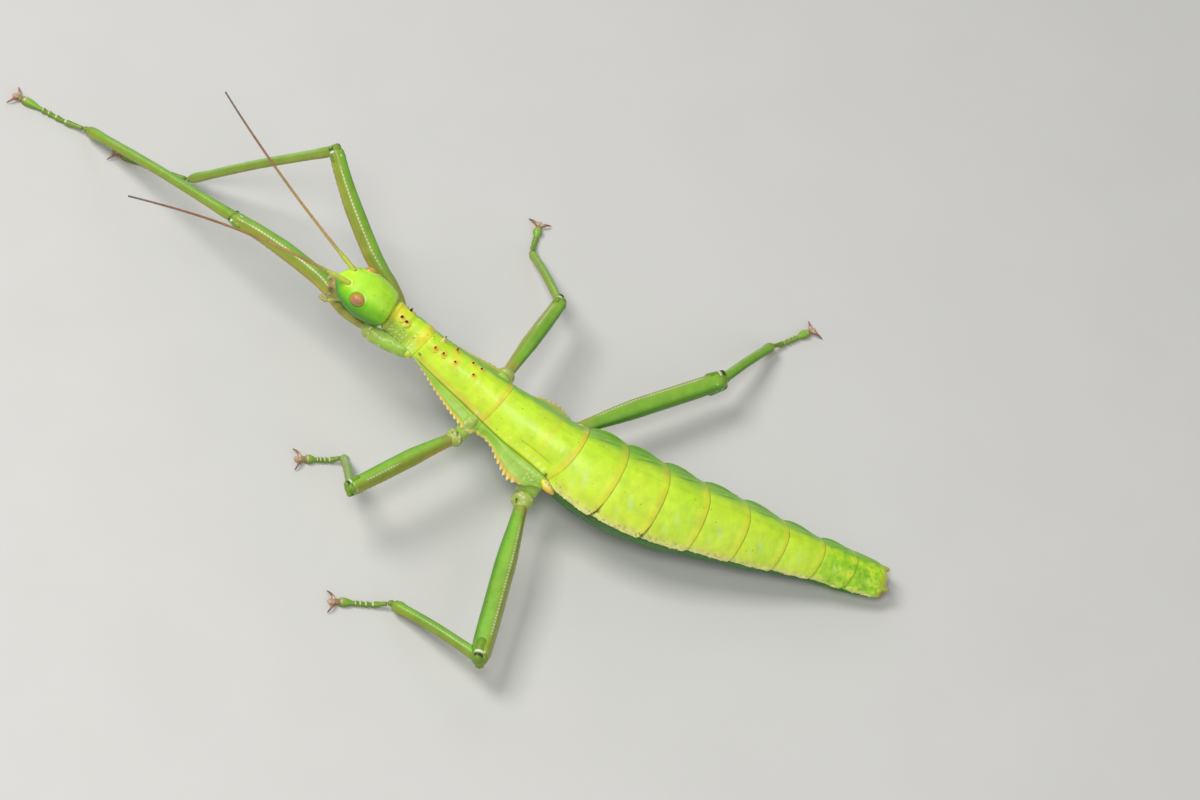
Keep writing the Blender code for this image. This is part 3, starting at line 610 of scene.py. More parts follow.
def plate_relief():
    """Hind bands, seams and swell of the plates; side folds, pleats and wrinkles of the abdomen."""
    relief = 0.05 * smooth(1.4, 0.5, TO_REAR) * (ON_ABDOMEN * (U < U_CARINA + 0.02) + 0.4 * ON_THORAX)
    relief -= 0.08 * np.exp(-(np.minimum(TO_REAR, FROM_FRONT) / 0.075) ** 2) * (S > 12) * (S < 88.5)
    relief -= 0.06 * smooth(0.9, 0.0, FROM_FRONT) * ON_ABDOMEN
    relief += 0.10 * np.sin(math.pi * np.clip(SHARE, 0, 1)) * ON_ABDOMEN * smooth(88, 84, S)
    # groove below the side fold, pleats of the belly, folds of the flanks
    relief -= 0.16 * bell(U, U_CARINA + FOLD_LIP + 0.02, 0.03) * ON_ABDOMEN
    pleats = np.sin(U * 95 + 1.5 * noise(BODY_NOISE * 0.5, 21)) * smooth(0.5, 0.56, U)
    relief += 0.05 * pleats * ON_ABDOMEN - 0.09 * FOLDS
    # raised right rim, crinkled left rim
    relief += 0.12 * bell(LATERAL, 0.97, 0.07) * ON_ABDOMEN * (SIGN < 0) * smooth(86.0, 80.0, S)
    rim = smooth(0.62, 0.80, LATERAL) * ON_ABDOMEN * (SIGN > 0) * (U < U_CARINA)
    return relief + 0.06 * layered(BODY_NOISE * 2.0, 47) * rim


def thorax_relief():
    """Keels, hollow side plates, rims of the toothed edges, grains and the pronotum's furrow."""
    behind = ON_THORAX * smooth(15.0, 16.5, S)
    relief = 0.04 * bell(U, 0.0, 0.016) * (ON_THORAX + 0.5 * ON_ABDOMEN) * smooth(12, 16, S)
    relief += 0.08 * bell(U, U_CARINA - 0.006, 0.022) * behind
    relief -= 0.14 * bell(U, U_CARINA + 0.030, 0.028) * behind
    relief += 0.12 * bell(U, U_EDGE - 0.025, 0.030) * ON_THORAX * smooth(15.6, 17.0, S)
    relief -= 0.05 * bell(LATERAL, 0.80, 0.03) * between(32.5, 34.0, 37.5, 39.0, S)
    for station, lateral, radius, height in TUBERCLES:
        relief += height * near(station, lateral, radius)
    for station, side, _ in SPINES:
        relief += 0.12 * near(station, side / along(CARINA_WIDTH, station), 0.65)
    # pronotum: front collar, cross furrow and swollen hind margin
    on_back = ON_PRONOTUM * (U < U_CARINA)
    relief += 0.12 * bell(S, 9.35, 0.35) * TO_THORAX
    relief -= 0.12 * bell(Q, 12.1, 0.6) * on_back
    relief += 0.14 * bell(Q, 14.3, 0.95) * on_back * smooth(0.9, 0.4, LATERAL)
    return relief + 0.09 * GRAINS


def head_relief():
    """Orbits, sockets of the feelers, cheek furrows, middle line, occiput and neck."""
    relief = 0.06 * bell(S, 8.15, 0.45) - 0.025 * bell(U, 0.0, 0.02) * smooth(3.2, 4.2, S)
    for sign in (1, -1):
        eye = head_gap(EYE_STATION, sign * EYE_SIDE, EYE_HEIGHT)
        socket = head_gap(ANTENNA_ROOT[0], sign * ANTENNA_ROOT[1], ANTENNA_ROOT[2])
        relief += 0.11 * bell(eye, 1.22, 0.30) - 0.30 * bell(eye, 0.0, 1.0)
        relief += 0.08 * bell(socket, 0.55, 0.30) - 0.08 * bell(socket, 0.0, 0.40)
    cheek = bell(HEIGHT + 0.9 + 0.22 * S, 0.0, 0.30) * between(1.0, 2.4, 5.0, 6.6, S)
    return (relief - 0.06 * cheek) * ON_HEAD - 0.50 * bell(S, 8.82, 0.30)


def trunk_relief():
    """Height of the relief along the surface normal, with uneven skin everywhere."""
    uneven = 0.030 * layered(BODY_NOISE * 0.8, 41) * (1 - 0.6 * ON_HEAD)
    uneven += 0.010 * layered(BODY_NOISE * 3.0, 45)
    return plate_relief() + thorax_relief() + head_relief() + uneven


# ------------------------------------------------------------------ trunk: paint
STREAKS = (         # oblique pale streaks: share along and across the plate, side and depth
    (0.42, 0.40, 1, 0.65), (0.30, 0.58, 1, 0.35), (0.45, 0.35, -1, 0.20))
STREAK_LENGTH, STREAK_WIDTH = 1.7, 0.50
PLATE_LENGTH, PLATE_HALF = 6.4, 9.0           # a usual plate: along it, middle line to side fold
BACK_DEPTH = U_CARINA + 0.02                  # paint of the back runs this far down the section


def paint_ground(broad, medium, fine):
    """Lime over the whole trunk, with painted light and shade: paler and yellower on the lit left side,
    green and deep green painted as shade on the right flank.
    """
    right = (SIGN < 0) * (U < 0.5) * (1 - ON_HEAD)
    # painted light: the lit left side is painted paler and yellower, with paler patches
    lit_lean = smooth(-0.7, 0.7, SIGN * LATERAL)
    start = 0.22 - 0.14 * ON_ABDOMEN
    # painted shade: the right flank, turned away from the light, is painted green and deeper green
    shaded_flank = smooth(start, start + 0.26, LATERAL + 0.05 * medium) * right
    deep_shade = smooth(0.35, 0.75, LATERAL + 0.04 * fine) * right
    return coats(mix(LIME, YELLOW_LIME, 0.25 + 0.55 * lit_lean + 0.30 * broad),
                 (GREEN, 0.22 * smooth(0.1, 0.7, medium)),
                 (GREEN, 0.85 * shaded_flank),
                 (DEEP_GREEN, deep_shade * (0.20 + 0.30 * ON_ABDOMEN)),
                 (PALE_STREAK, 0.25 * smooth(0.35, 0.8, fine) * smooth(-0.2, 0.4, lit_lean - 0.4)))


def paint_plates(paint, medium, fine):
    """Streaks, flank folds darkened with painted shade, yellow and orange hind margins with their thin
    seams.
    """
    on = ON_ABDOMEN + ON_THORAX * smooth(17, 20, S) * 0.6
    for share, lateral, sign, depth in STREAKS:
        back, out = (SHARE - share) * PLATE_LENGTH, (LATERAL - lateral) * PLATE_HALF
        long_way, short_way = 0.5 * back + 0.87 * out, 0.87 * back - 0.5 * out
        gap = np.hypot(long_way / STREAK_LENGTH, short_way / STREAK_WIDTH)
        streak = bell(gap + 0.35 * fine, 0.0, 1.0)
        paint = mix(paint, PALE_STREAK, depth * streak * (SIGN == sign) * on)
    banded = np.clip(ON_ABDOMEN + (S > 20) * ON_THORAX, 0, 1) * (U < BACK_DEPTH)
    banded = banded * (1 - 0.45 * smooth(0.2, 0.95, SIGN * LATERAL)) * smooth(88, 86, S)
    # the bands fade out on the right flank, into its painted shade
    banded = banded * (1 - 0.75 * smooth(0.25, 0.75, LATERAL) * (SIGN < 0))
    uneven = TO_REAR + 0.22 * medium + 0.10 * fine
    wide = 1.0 + 0.5 * between(38.0, 46.0, 56.0, 70.0, S)
    strong = np.clip(0.04 + 0.50 * smooth(42.0, 40.0, S) + 0.35 * medium, 0, 0.7)
    seam = np.exp(-(np.minimum(TO_REAR, FROM_FRONT) / 0.060) ** 2) * (S > 9.6) * (S < 88.5)
    # the last is a faint line between the hind thorax and the first plate that is grown onto it
    return coats(paint,
                 # painted shade: the grooves of the right flank's folds are painted darker green
                 (FOLD_SHADE_GREEN, 0.65 * FOLDS),
                 (BAND_YELLOW, 0.42 * smooth(1.30 * wide, 0.3, uneven) * banded),
                 (BAND_ORANGE, bell(uneven, 0.38, 0.42 * wide) * strong * banded),
                 (SEAM_BROWN, (0.40 + 0.30 * fine) * seam),
                 (BAND_ORANGE, 0.22 * bell(Q, 36.3, 0.50) * ON_THORAX * (LATERAL < 0.8)))


def paint_cracks(paint, fine):
    """Brown cracks and stains at the left ends of two borders of the abdomen."""
    cracked = (SIGN > 0) * between(45.5, 46.2, 54.8, 55.5, Q) * (U < BACK_DEPTH)
    from_border = np.minimum(TO_REAR, FROM_FRONT)
    stain = np.exp(-(from_border / 0.11) ** 2) * smooth(0.50, 0.66, LATERAL)
    spread = smooth(1.0, 0.2, from_border) * smooth(0.62, 0.76, LATERAL) * smooth(0.05, 0.35, fine)
    return mix(paint, DARK_BROWN, np.clip(0.9 * stain + 0.7 * spread, 0, 0.9) * cracked)


def paint_folds(paint, medium, fine):
    """Side folds of the abdomen: pale tan and crinkled, with brown marks; the belly below is painted
    dark green as shade.
    """
    left = (U < U_CARINA) * ON_ABDOMEN * (SIGN > 0)
    rim = smooth(0.70, 0.82, LATERAL + 0.06 * fine) * left
    edge = bell(U, U_CARINA, 0.032 + 0.010 * fine) * ON_ABDOMEN
    groove = bell(U, U_CARINA + 0.02, 0.012) * ON_ABDOMEN
    return coats(paint,
                 (FOLD_TAN, 0.65 * smooth(0.48, 0.90, LATERAL + 0.08 * medium) * left),
                 (FOLD_PALE, 0.40 * rim),
                 (TAN, 0.50 * rim * smooth(0.10, 0.40, fine)),
                 (FOLD_PALE, 0.85 * edge),
                 (TAN, 0.8 * edge * smooth(0.20, 0.50, fine)),
                 (DARK_BROWN, 0.7 * groove * smooth(0.0, 0.4, medium)),
                 # painted shade: the belly below the side fold is painted dark green
                 (mix(SHADED_BELLY_GREEN, DEEP_GREEN, 0.35 + 0.35 * medium),
                  smooth(U_CARINA + 0.02, U_CARINA + 0.05, U) * ON_ABDOMEN))


def paint_thorax(paint, broad, medium, fine):
    """Keels with their dark line, side plates, toothed edges, the breast darkened as painted shade, and
    the feet of the spines.
    """
    behind = smooth(15.0, 16.0, S) * ON_THORAX
    plate = coats(mix(PLEURA, PALE_STREAK, 0.12 + 0.25 * broad),
                  (GREEN, 0.30 * smooth(0.0, 0.6, medium) + 0.25 * smooth(0.47, 0.43, U)),
                  (GLASSY, 0.35 * smooth(0.1, 0.5, fine)))
    keel = smooth(U_CARINA - 0.075, U_CARINA - 0.01, U + 0.01 * medium) * (U < U_CARINA + 0.006)
    keel = keel * behind * (1 - 0.75 * (SIGN < 0)) * smooth(31.0, 27.0, S)
    crease = bell(LATERAL, 0.80, 0.025) * between(32.5, 34.5, 37.5, 39.0, S)
    rim = smooth(U_EDGE - 0.050, U_EDGE - 0.025, U + 0.006 * fine)
    rim = rim * smooth(U_EDGE + 0.04, U_EDGE + 0.02, U) * ON_THORAX
    rim = rim * between(15.2, 16.5, 36.0, 37.5, S)
    teeth = saw(S, TOOTH_PITCH, 0.42)
    paint = coats(paint,
                  (plate, smooth(U_CARINA + 0.01, U_CARINA + 0.03, U) * ON_THORAX),
                  (KEEL_TAN, 0.60 * keel),
                  (SEAM_GREEN, 0.85 * bell(U, U_CARINA + 0.010, 0.012) * behind),
                  (SEAM_GREEN, 0.40 * crease * ON_THORAX * (SIGN > 0)),
                  (KEEL_TAN, 0.85 * rim),
                  (TOOTH_PALE, 0.95 * smooth(0.30, 0.75, teeth) * bell(U, U_EDGE, 0.022) * (rim > 0)),
                  (BAND_ORANGE, 0.45 * rim * (1 - smooth(0.1, 0.5, teeth))),
                  # painted shade: the breast below the side plates is darkened toward the belly green
                  (mix(PLEURA, SHADED_BELLY_GREEN, 0.5 + 0.5 * medium), smooth(0.66, 0.75, U) * ON_THORAX))
    for station, side, _ in SPINES:
        lateral = side / along(CARINA_WIDTH, station)
        halo = near(station, lateral, 1.10 + 0.25 * math.sin(station))
        paint = coats(paint, (BAND_YELLOW, 0.75 * halo),
                      (BAND_ORANGE, 0.75 * near(station, lateral, 0.55)))
    for station, lateral, radius, _ in TUBERCLES:
        paint = mix(paint, IVORY, 0.45 * near(station, lateral, radius))
    return paint


def paint_pronotum(paint, medium):
    """Yellow collar and swollen yellow hind margin, tan-green sides."""
    on = ON_PRONOTUM * (U < U_CARINA + 0.05)
    collar = smooth(11.2 - 1.0 * LATERAL, 10.0 - 0.6 * LATERAL, S) * (LATERAL < 0.98)
    sides = smooth(0.45, 0.80, LATERAL + 0.06 * medium) * smooth(14.2, 12.0, S)
    margin = smooth(13.2, 14.2, Q + 0.2 * medium) * smooth(0.95, 0.55, LATERAL)
    return coats(paint,
                 (BAND_YELLOW, 0.75 * collar * on),
                 (COLLAR_GREEN, 0.75 * sides * ON_PRONOTUM),
                 (BAND_YELLOW, 0.70 * margin * on),
                 (BAND_ORANGE, 0.35 * bell(Q, 14.6, 0.5) * on * (SIGN < 0)),
                 (PALE_STREAK, 0.6 * bell(Q, 14.3, 0.8) * bell(LATERAL, 0.9, 0.25) * on))


def paint_head(paint, broad, medium):
    """Lime crown running through green to the deep-green cheeks, darker below partly as painted shade,
    with pale rings at the eyes.
    """
    # the darkening toward the cheeks and underside is partly the head's own green and partly painted
    # shade
    head = coats(mix(CROWN, YELLOW_LIME, 0.35 * smooth(0.0, 0.6, broad) + 0.35 * smooth(3.0, 1.0, S)),
                 (TEMPLE, smooth(0.14, 0.36, U + 0.03 * broad)),
                 (CHEEK, smooth(0.34, 0.56, U + 0.02 * medium)),
                 (DEEP_GREEN, 0.45 * smooth(0.60, 0.80, U)),
                 (BAND_YELLOW, 0.35 * bell(S, 8.30, 0.30) * (U < 0.6)),
                 (SEAM_GREEN, 0.75 * bell(S, 8.48, 0.10) * (U < 0.8)))
    for sign in (1, -1):
        eye = head_gap(EYE_STATION, sign * EYE_SIDE, EYE_HEIGHT)
        rear = head_gap(EYE_STATION + 0.75, sign * (EYE_SIDE - 0.45), EYE_HEIGHT + 0.85)
        socket = head_gap(ANTENNA_ROOT[0], sign * ANTENNA_ROOT[1], ANTENNA_ROOT[2])
        head = coats(head,
                     (EYE_RING, 0.6 * bell(eye, 1.25, 0.35) * bell(rear, 0.0, 1.0)),
                     (DEEP_GREEN, 0.7 * bell(eye, 0.95, 0.16)),
                     (BAND_YELLOW, 0.30 * bell(socket, 0.40, 0.5)))
    return mix(paint, head, ON_HEAD)


def paint_tail(paint, medium, fine):
    """Tail: greener and mottled, with a yellow end and a brown left corner."""
    tail = smooth(76.0, 82.0, S) * (U < U_CARINA + 0.03)
    end = smooth(88.0, 89.2, S + 0.4 * medium) * (U < U_CARINA + 0.04)
    corner = smooth(88.5, 89.3, S) * smooth(0.45, 0.75, LATERAL) * (SIGN > 0)
    return coats(paint,
                 (GREEN, 0.75 * tail * smooth(-0.5, 0.4, medium)),
                 (DEEP_GREEN, 0.45 * tail * smooth(0.15, 0.5, fine)),
                 (BAND_YELLOW, 0.60 * end),
                 (ROSY_BROWN, 0.80 * corner))


def trunk_paint():
    """Base colour and gloss of every point of the trunk."""
    broad, medium, fine = (layered(BODY_NOISE * scale, seed)
                           for scale, seed in ((0.28, 61), (0.9, 71), (2.6, 81)))
    paint = paint_ground(broad, medium, fine)
    paint = paint_plates(paint, medium, fine)
    paint = paint_folds(paint, medium, fine)
    paint = paint_cracks(paint, fine)
    paint = paint_thorax(paint, broad, medium, fine)
    paint = mix(paint, GREEN, 0.20 * bell(U, 0.0, 0.012) * (ON_THORAX + ON_ABDOMEN))
    paint = paint_pronotum(paint, medium)
    paint = mix(paint, TOOTH_PALE, 0.45 * GRAINS)
    for (station, lateral), sign in itertools.product(BLACK_DASHES, (1, -1)):
        dash = np.hypot((S - station) / 0.42, (SIGN * LATERAL - sign * lateral) * 5 / 0.22)
        paint = mix(paint, BLACK, 0.92 * bell(dash, 0.0, 1.0) * (U < BACK_DEPTH))
    paint = paint_head(paint, broad, medium)
    paint = mix(paint, GLASSY, 0.7 * bell(S, 8.82, 0.25))
    paint = paint_tail(paint, medium, fine)
    return paint, 0.5 + 0.15 * ON_HEAD + 0.12 * fine + 0.3 * GRAINS


def build_trunk(skin):
    """The whole trunk, head to tail, as one closed shell."""
    side = SIGN * np.maximum(SIDE + outline_shift() * (SIDE > 0.2), 0.0)
    closing = np.sqrt(1 - np.clip((S - TAIL_TURN) / (TAIL_TIP + 0.05 - TAIL_TURN), 0, 1) ** 2)
    side, height = side * (0.60 + 0.40 * closing), HEIGHT * closing
    to_body = TO_THORAX[..., None]
    grid = place_head(S, side, height) * (1 - to_body) + place(S, side, height) * to_body
    grid = raised(grid, trunk_relief() * smooth(HEAD_FRONT, 0.9, S))
    grid[..., 2] = np.maximum(grid[..., 2], 0.02)
    skin.add(grid, *trunk_paint())


# ------------------------------------------------------------------ parts that grow from the trunk
TALL_SPINE = 1.0              # spines higher than this are rosy, with a short dark tip
KNOB_STATION = 14.2
OPERCULUM_WIDTH = ((79.6, 1.5), (82.5, 1.95), (86.0, 1.8), (89.0, 1.3), (90.6, 0.7))
OPERCULUM_DEPTH = 3.6         # its keel lies this far below the body line


def roof_height(station, side):
    """Height of the back at a distance from the middle line of the thorax."""
    slope = along(CARINA_DROP, station) / along(CARINA_WIDTH, station) ** 2
    return along(TOP, station) - slope * side * side


def build_spines(skin):
    """Slender spines on an orange foot with a dark tip, leaning out a little."""
    t = np.linspace(0, 1, 34)
    for station, side, height in SPINES:
        roof = roof_height(station, side)
        foot = place(station, side, roof - 0.30)
        tip = place(station - 0.15, side * 1.2, roof + height)
        path = foot + (tip - foot) * t[:, None]
        path += forward_at(station) * (0.10 * np.sin(math.pi * t))[:, None]
        on_collar = station < MESOTHORAX_START
        thick = 0.24 if on_collar else 0.19
        grid, angle = sweep(path, 0.34 * (1 - t) ** 3.0 + thick * (1 - t) ** 0.75 + 0.015, 24)
        rise = t[:, None] * np.ones_like(angle)
        if height > TALL_SPINE:
            shaft, dark_from = SPINE_ROSY, 0.78
        elif on_collar:
            shaft, dark_from = SPINE_YELLOW, 0.50
        else:
            shaft, dark_from = BAND_ORANGE, 0.62
        skin.add(grid, coats(BAND_YELLOW,
                             (shaft, smooth(0.1, 0.45, rise)),
                             (RED_BROWN, smooth(dark_from - 0.14, dark_from, rise)),
                             (BLACK, smooth(dark_from, dark_from + 0.12, rise))), 0.8)


def build_knobs(skin):
    """Small glassy knob below the rear corner of the pronotum, above each fore hip."""
    axes = axes_of(forward_at(KNOB_STATION))
    for sign in (1, -1):
        knob = oval(place(KNOB_STATION, sign * 2.45, -1.55), axes, (0.85, 0.75, 0.70), 26, 36)
        rough = layered(knob * 1.8, 95)
        grains = smooth(0.30, 0.55, layered(knob * 2.6, 97))
        skin.add(raised(knob, 0.05 * rough + 0.05 * grains),
                 coats(PLEURA, (BAND_YELLOW, 0.45 + 0.5 * rough), (TOOTH_PALE, 0.8 * grains)), 0.9)


def build_side_lobes(skin):
    """The swollen orange-yellow lobe behind the keel at each side of the hind thorax."""
    t = np.linspace(0, 1, 30)
    radii = 0.76 * np.sin(math.pi * (0.06 + 0.88 * t)) ** 0.6
    for sign in (1, -1):
        path = place(38.9 + 1.9 * t, sign * (5.25 + 0.75 * t), -0.45 - 0.35 * t)
        grid, angle, share = rod(path, radii, 28, flat=0.75)
        skin.add(grid, coats(BAND_YELLOW,
                             (BAND_ORANGE, smooth(0.2, 0.8, share)),
                             # painted highlight: ivory on the upper side of the lobe
                             (IVORY, 0.5 * bell(np.sin(angle), 0.9, 0.25) * bell(share, 0.5, 0.45)),
                             (LOBE_BROWN, 0.7 * smooth(0.82, 1.0, share))), 0.85)


def build_cerci(skin):
    """The two short blunt cerci at the tail's tip."""
    t = np.linspace(0, 1, 24)
    for sign in (1, -1):
        path = place(88.2 + 1.6 * t, sign * (1.5 + 0.5 * t - 0.3 * t * t), 0.35 + 0.05 * t)
        grid, _, share = rod(path, 0.62 - 0.30 * t, 20)
        skin.add(grid, mix(LIME, TAN, share), 0.5)


def build_operculum(skin):
    """The boat-shaped cover under the tail."""
    s, a = np.meshgrid(np.linspace(79.5, 90.6, 140), np.arange(72) / 72 * 2 * math.pi, indexing="ij")
    inner = -along(BELLY, s) - 0.25
    depth = np.where(np.sin(a) < 0, (OPERCULUM_DEPTH + inner) * 1.35, 0.12)
    depth = depth + 0.18 * bell(a, 1.5 * math.pi, 0.35)
    closing = np.sqrt(np.clip(1 - ((s - 85.0) / 5.7) ** 8, 0.02, 1))
    height = inner - 0.15 * (np.sin(a) < 0) + depth * np.sin(a) * closing
    grid = place(s, along(OPERCULUM_WIDTH, s) * np.cos(a) * closing, height)
    rough = layered(np.stack([s * 1.4, a * 2.5, 0 * s], axis=-1), 91)
    skin.add(above_floor(grid + UP * 0.03 * rough[..., None]),
             coats(GREEN,
                   (DEEP_GREEN, 0.5 + 0.5 * rough),
                   (BAND_YELLOW, 0.6 * smooth(87.0, 89.5, s)),
                   (ROSY_BROWN, smooth(88.9, 90.0, s + 0.3 * rough))), 0.45)


# ------------------------------------------------------------------ legs
def bow(pair, t, inward):
    """How far the thigh stands off a straight line; the fore one bends in beside the head."""
    t = np.clip(t, 0.0, 1.0)
    if pair == "fore":
        return (inward * BOW_INWARD + UP * BOW_UP) * along(FORE_BOW, t)[:, None]
    return UP * (0.5 * np.sin(math.pi * t) * (1 - t))[:, None]


def leg_points(pair, label):
    """Hip, joint, knee and ankle of a leg with the directions of its lengths."""
    thigh_heading, thigh_pitch, shin_heading, foot_heading = LEG_POSE[pair + "_" + label]
    side = 1 if label == "left" else -1
    station, width, drop = LEG_ROOT.get(pair + "_" + label, LEG_ROOT.get(pair))
    joint = place(station, side * width, -drop)
    station, width, drop = HIP[pair]
    inside = place(station, side * width, -drop)
    thigh_way = aim(thigh_heading, thigh_pitch)
    inward = unit(np.cross(thigh_way, UP)) * side
    bend = joint + thigh_way * THIGH_LENGTH[pair]
    shin_pitch = -math.degrees(math.asin((bend[2] - ANKLE_HEIGHT) / SHIN_LENGTH[pair]))
    shin_way = aim(shin_heading, shin_pitch)
    ankle = bend + shin_way * SHIN_LENGTH[pair]
    return inside, joint, thigh_way, inward, bend, shin_way, ankle, aim(foot_heading, 0.0)


def prism(angle, corners, sharp):
    """Radius of a rounded prism with keels at its corners, 1 at the keels."""
    wave = np.abs(np.cos(angle * corners / 2))
    return 1.0 - sharp * (1 - wave ** 1.6)


def build_hip(skin, inside, joint, start, radius, base, grain):
    """Glassy granulated coxa and the small trochanter, with the dark line between them."""
    t = np.linspace(0, 1, 44)
    swell = radius * (1.0 - 0.15 * t + 0.08 * np.sin(math.pi * t))
    grid, _, share = rod(inside + (joint - inside) * t[:, None], swell, 56, last=0.8)
    rough, grains = grain(grid, 1.1), smooth(0.25, 0.55, grain(grid, 2.6, 9))
    grid = raised(grid, 0.05 * rough + 0.05 * grains + 0.26 * grain(grid, 0.55, 2))
    line = bell(share, 0.93, 0.03) * smooth(0.0, 0.4, grain(grid, 0.9, 4))
    skin.add(grid, coats(PLEURA,
                         (GLASSY, 0.45 + 0.5 * rough),
                         (GREEN, 0.30 * smooth(0.0, 0.5, grain(grid, 0.8, 5))),
                         (IVORY, 0.75 * grains),
                         (DARK_BROWN, 0.6 * line)), 0.9)
    t = np.linspace(0, 1, 28)
    arch, fall = np.sin(math.pi * t), (1 - t) ** 1.5
    swell = radius * (0.86 * fall + 0.22 * arch ** 1.5) + base * (1.10 + 0.25 * arch) * (1 - fall)
    grid, _, _ = rod(joint + (start - joint) * (0.1 + 0.85 * t)[:, None], swell, 44, last=0.7)
    rough, grains = grain(grid, 1.4, 6), smooth(0.25, 0.5, grain(grid, 2.4, 3))
    skin.add(raised(grid, 0.04 * rough + 0.05 * grains),
             coats(GLASSY,
                   (LEG_OLIVE, 0.25 + 0.5 * rough),
                   (IVORY, 0.8 * grains),
                   (BLACK, 0.8 * smooth(0.42, 0.52, grain(grid, 1.3, 8)))), 0.85)


def keel_lines(angle, reach):
    """1 on the four keels of a leg, 0 from the reach on."""
    return bell(np.abs(np.sin(2 * (angle - KEEL_TURN))), 0.0, reach)


def dashes(angle, share, length, pitch, start, stop):
    """Thin broken pale line along the upper keel of a leg, between two shares of its length."""
    off = np.abs((angle - KEEL_TURN + math.pi) % (2 * math.pi) - math.pi)
    line = np.clip(1 - off / 0.13, 0, 1) * saw(share * length, pitch, 0.42)
    return line * smooth(start, start + 0.06, share) * smooth(stop, stop - 0.04, share)


def beam(path, radii, around, last, sharp, teeth):
    """Four-keeled beam with round ends; teeth says what stands out at an angle and a share."""
    path, radii = rounded(path, radii, last=last)
    share = ramp(np.arange(len(path)), CAP_RINGS, len(path) - 1 - CAP_RINGS)[:, None]
    grid, angle = sweep(path, radii * 1.04, around)
    reach = prism(angle - KEEL_TURN, 4, sharp) + teeth(angle, share)
    return path[:, None] + (grid - path[:, None]) * reach[..., None], angle, share


def build_thigh(skin, pair, start, end, inward, grain):
    """Femur: a rounded four-keeled beam, green above with a tan stripe along its rear edge."""
    base, middle, knee = (d / 2 for d in LEG_THICKNESS[pair][:3])
    length = THIGH_LENGTH[pair]
    t = np.linspace(-0.02, 1.0, int(length / 0.13))
    path = start + (end - start) * t[:, None] + bow(pair, t, inward)
    radii = along(((0, base), (0.12, base + 0.25 * (middle - base)), (0.3, middle * 0.92),
                   (0.42, middle), (0.64, middle), (0.83, knee), (1.0, knee * 0.95)), t)

    def teeth(angle, share):
        row = saw(share * length, 0.95, 0.3) * between(0.62, 0.72, 0.96, 0.99, share)
        return THIGH_TEETH[pair] * row * keel_lines(angle, 0.30) * (np.sin(angle) < 0.1)

    grid, angle, share = beam(path, radii, 72, 0.9, 0.11, teeth)
    rough, broad = grain(grid, 1.2, 7), grain(grid, 0.25, 11)
    grid = raised(grid, 0.018 * rough)
    # painted highlight: a lighter green band along the upper front face, where the light falls
    light = smooth(0.45, 0.98, np.cos(angle - KEEL_TURN - 0.45))
    stripe = smooth(0.55, 0.92, np.cos(angle + 0.45)) * (0.25 + 0.65 * smooth(0.55, 0.15, share))
    at_base = smooth(TAN_UNTIL[pair] + 0.08, TAN_UNTIL[pair] - 0.08, share + 0.04 * broad)
    dots = smooth(0.40, 0.55, grain(grid, 2.4, 12)) * smooth(0.93, 0.98, share) * (np.sin(angle) > 0)
    skin.add(grid, coats(LEG_GREEN,
                         (LEG_LIGHT, 0.85 * light + 0.15 * broad),
                         (LEG_OLIVE, smooth(0.10, 0.85, np.cos(angle - 0.25))),
                         (ORANGE_TAN, stripe),
                         (TAN, 0.6 * smooth(0.2, -0.7, np.sin(angle)) * smooth(-0.2, 0.5, broad)),
                         (mix(LEG_OLIVE, TAN, 0.5 + 0.4 * rough), 0.85 * at_base),
                         (WHITE, 0.95 * dashes(angle, share, length, 0.56, FIRST_DASH[pair], 0.93)),
                         (WHITE, 0.8 * dots)), 0.80 + 0.08 * rough)


def build_knee(skin, bend, end, thigh_way, shin_way, knee, grain):
    """Round condyle between the lobes of the thigh, with one black and one white mark above."""
    across = unit(np.cross(thigh_way, shin_way))
    ball = oval(bend, (across, thigh_way, np.cross(across, thigh_way)),
                (knee * 0.84, knee * 0.80, knee * 0.80), 36, 48)
    skin.add(ball, mix(LEG_GREEN, LEG_OLIVE, 0.5 + 0.6 * grain(ball, 2.2, 13)), 0.8)
    t = np.linspace(0, 1, 24)
    for turn in (1, -1):
        foot = end + across * turn * knee * 0.56 - thigh_way * knee * 0.6
        path = foot + thigh_way * (knee * 1.5 * t)[:, None]
        lobe, angle, share = rod(path, knee * (0.56 - 0.12 * t), 36, last=0.9)
        above = 0.95 * smooth(0.1, 0.5, np.sin(angle))
        skin.add(lobe, coats(LEG_GREEN,
                             (LEG_OLIVE, 0.4 + 0.6 * grain(lobe, 2.0, 17)),
                             (BLACK, above * bell(share, 0.80, 0.10)),
                             (WHITE, above * bell(share, 0.64, 0.08))), 0.8)


def build_shin(skin, pair, bend, ankle, shin_way, grain):
    """Tibia: a slender glossy beam, a little wider at both ends."""
    shin, length = LEG_THICKNESS[pair][3] / 2, SHIN_LENGTH[pair]
    t = np.linspace(0, 1, int(length / 0.15))
    start, end = bend + shin_way * shin * 0.3, ankle - shin_way * shin
    rise = 0.35 * np.sin(math.pi * t) * np.sin(math.pi * t * 0.8)
    path = start + (end - start) * t[:, None] + UP * rise[:, None]

    def teeth(angle, share):
        return 0.02 * saw(share * length, 0.55) * keel_lines(angle, 0.35)

    grid, angle, share = beam(path, shin * along(SHIN_SHAPE, t), 56, 0.8, 0.12, teeth)
    rough, broad = grain(grid, 1.4, 19), grain(grid, 0.3, 23)
    # painted highlight: a lighter green band along the upper front face, where the light falls
    light = smooth(0.4, 0.98, np.cos(angle - KEEL_TURN - 0.3))
    ends = 0.7 * smooth(0.93, 1.0, share) + 0.5 * smooth(0.05, 0.0, share)
    skin.add(raised(grid, 0.016 * rough),
             coats(LEG_GREEN,
                   (LEG_LIGHT, 0.8 * light + 0.2 * broad),
                   (LEG_OLIVE, 0.8 * smooth(0.1, 0.85, np.cos(angle + 0.1))),
                   (TAN, 0.5 * smooth(0.1, -0.8, np.sin(angle))),
                   (WHITE, 0.5 * dashes(angle, share, length, 0.6, 0.06, 0.9)),
                   (LEG_OLIVE, ends)), 0.82 + 0.08 * rough)


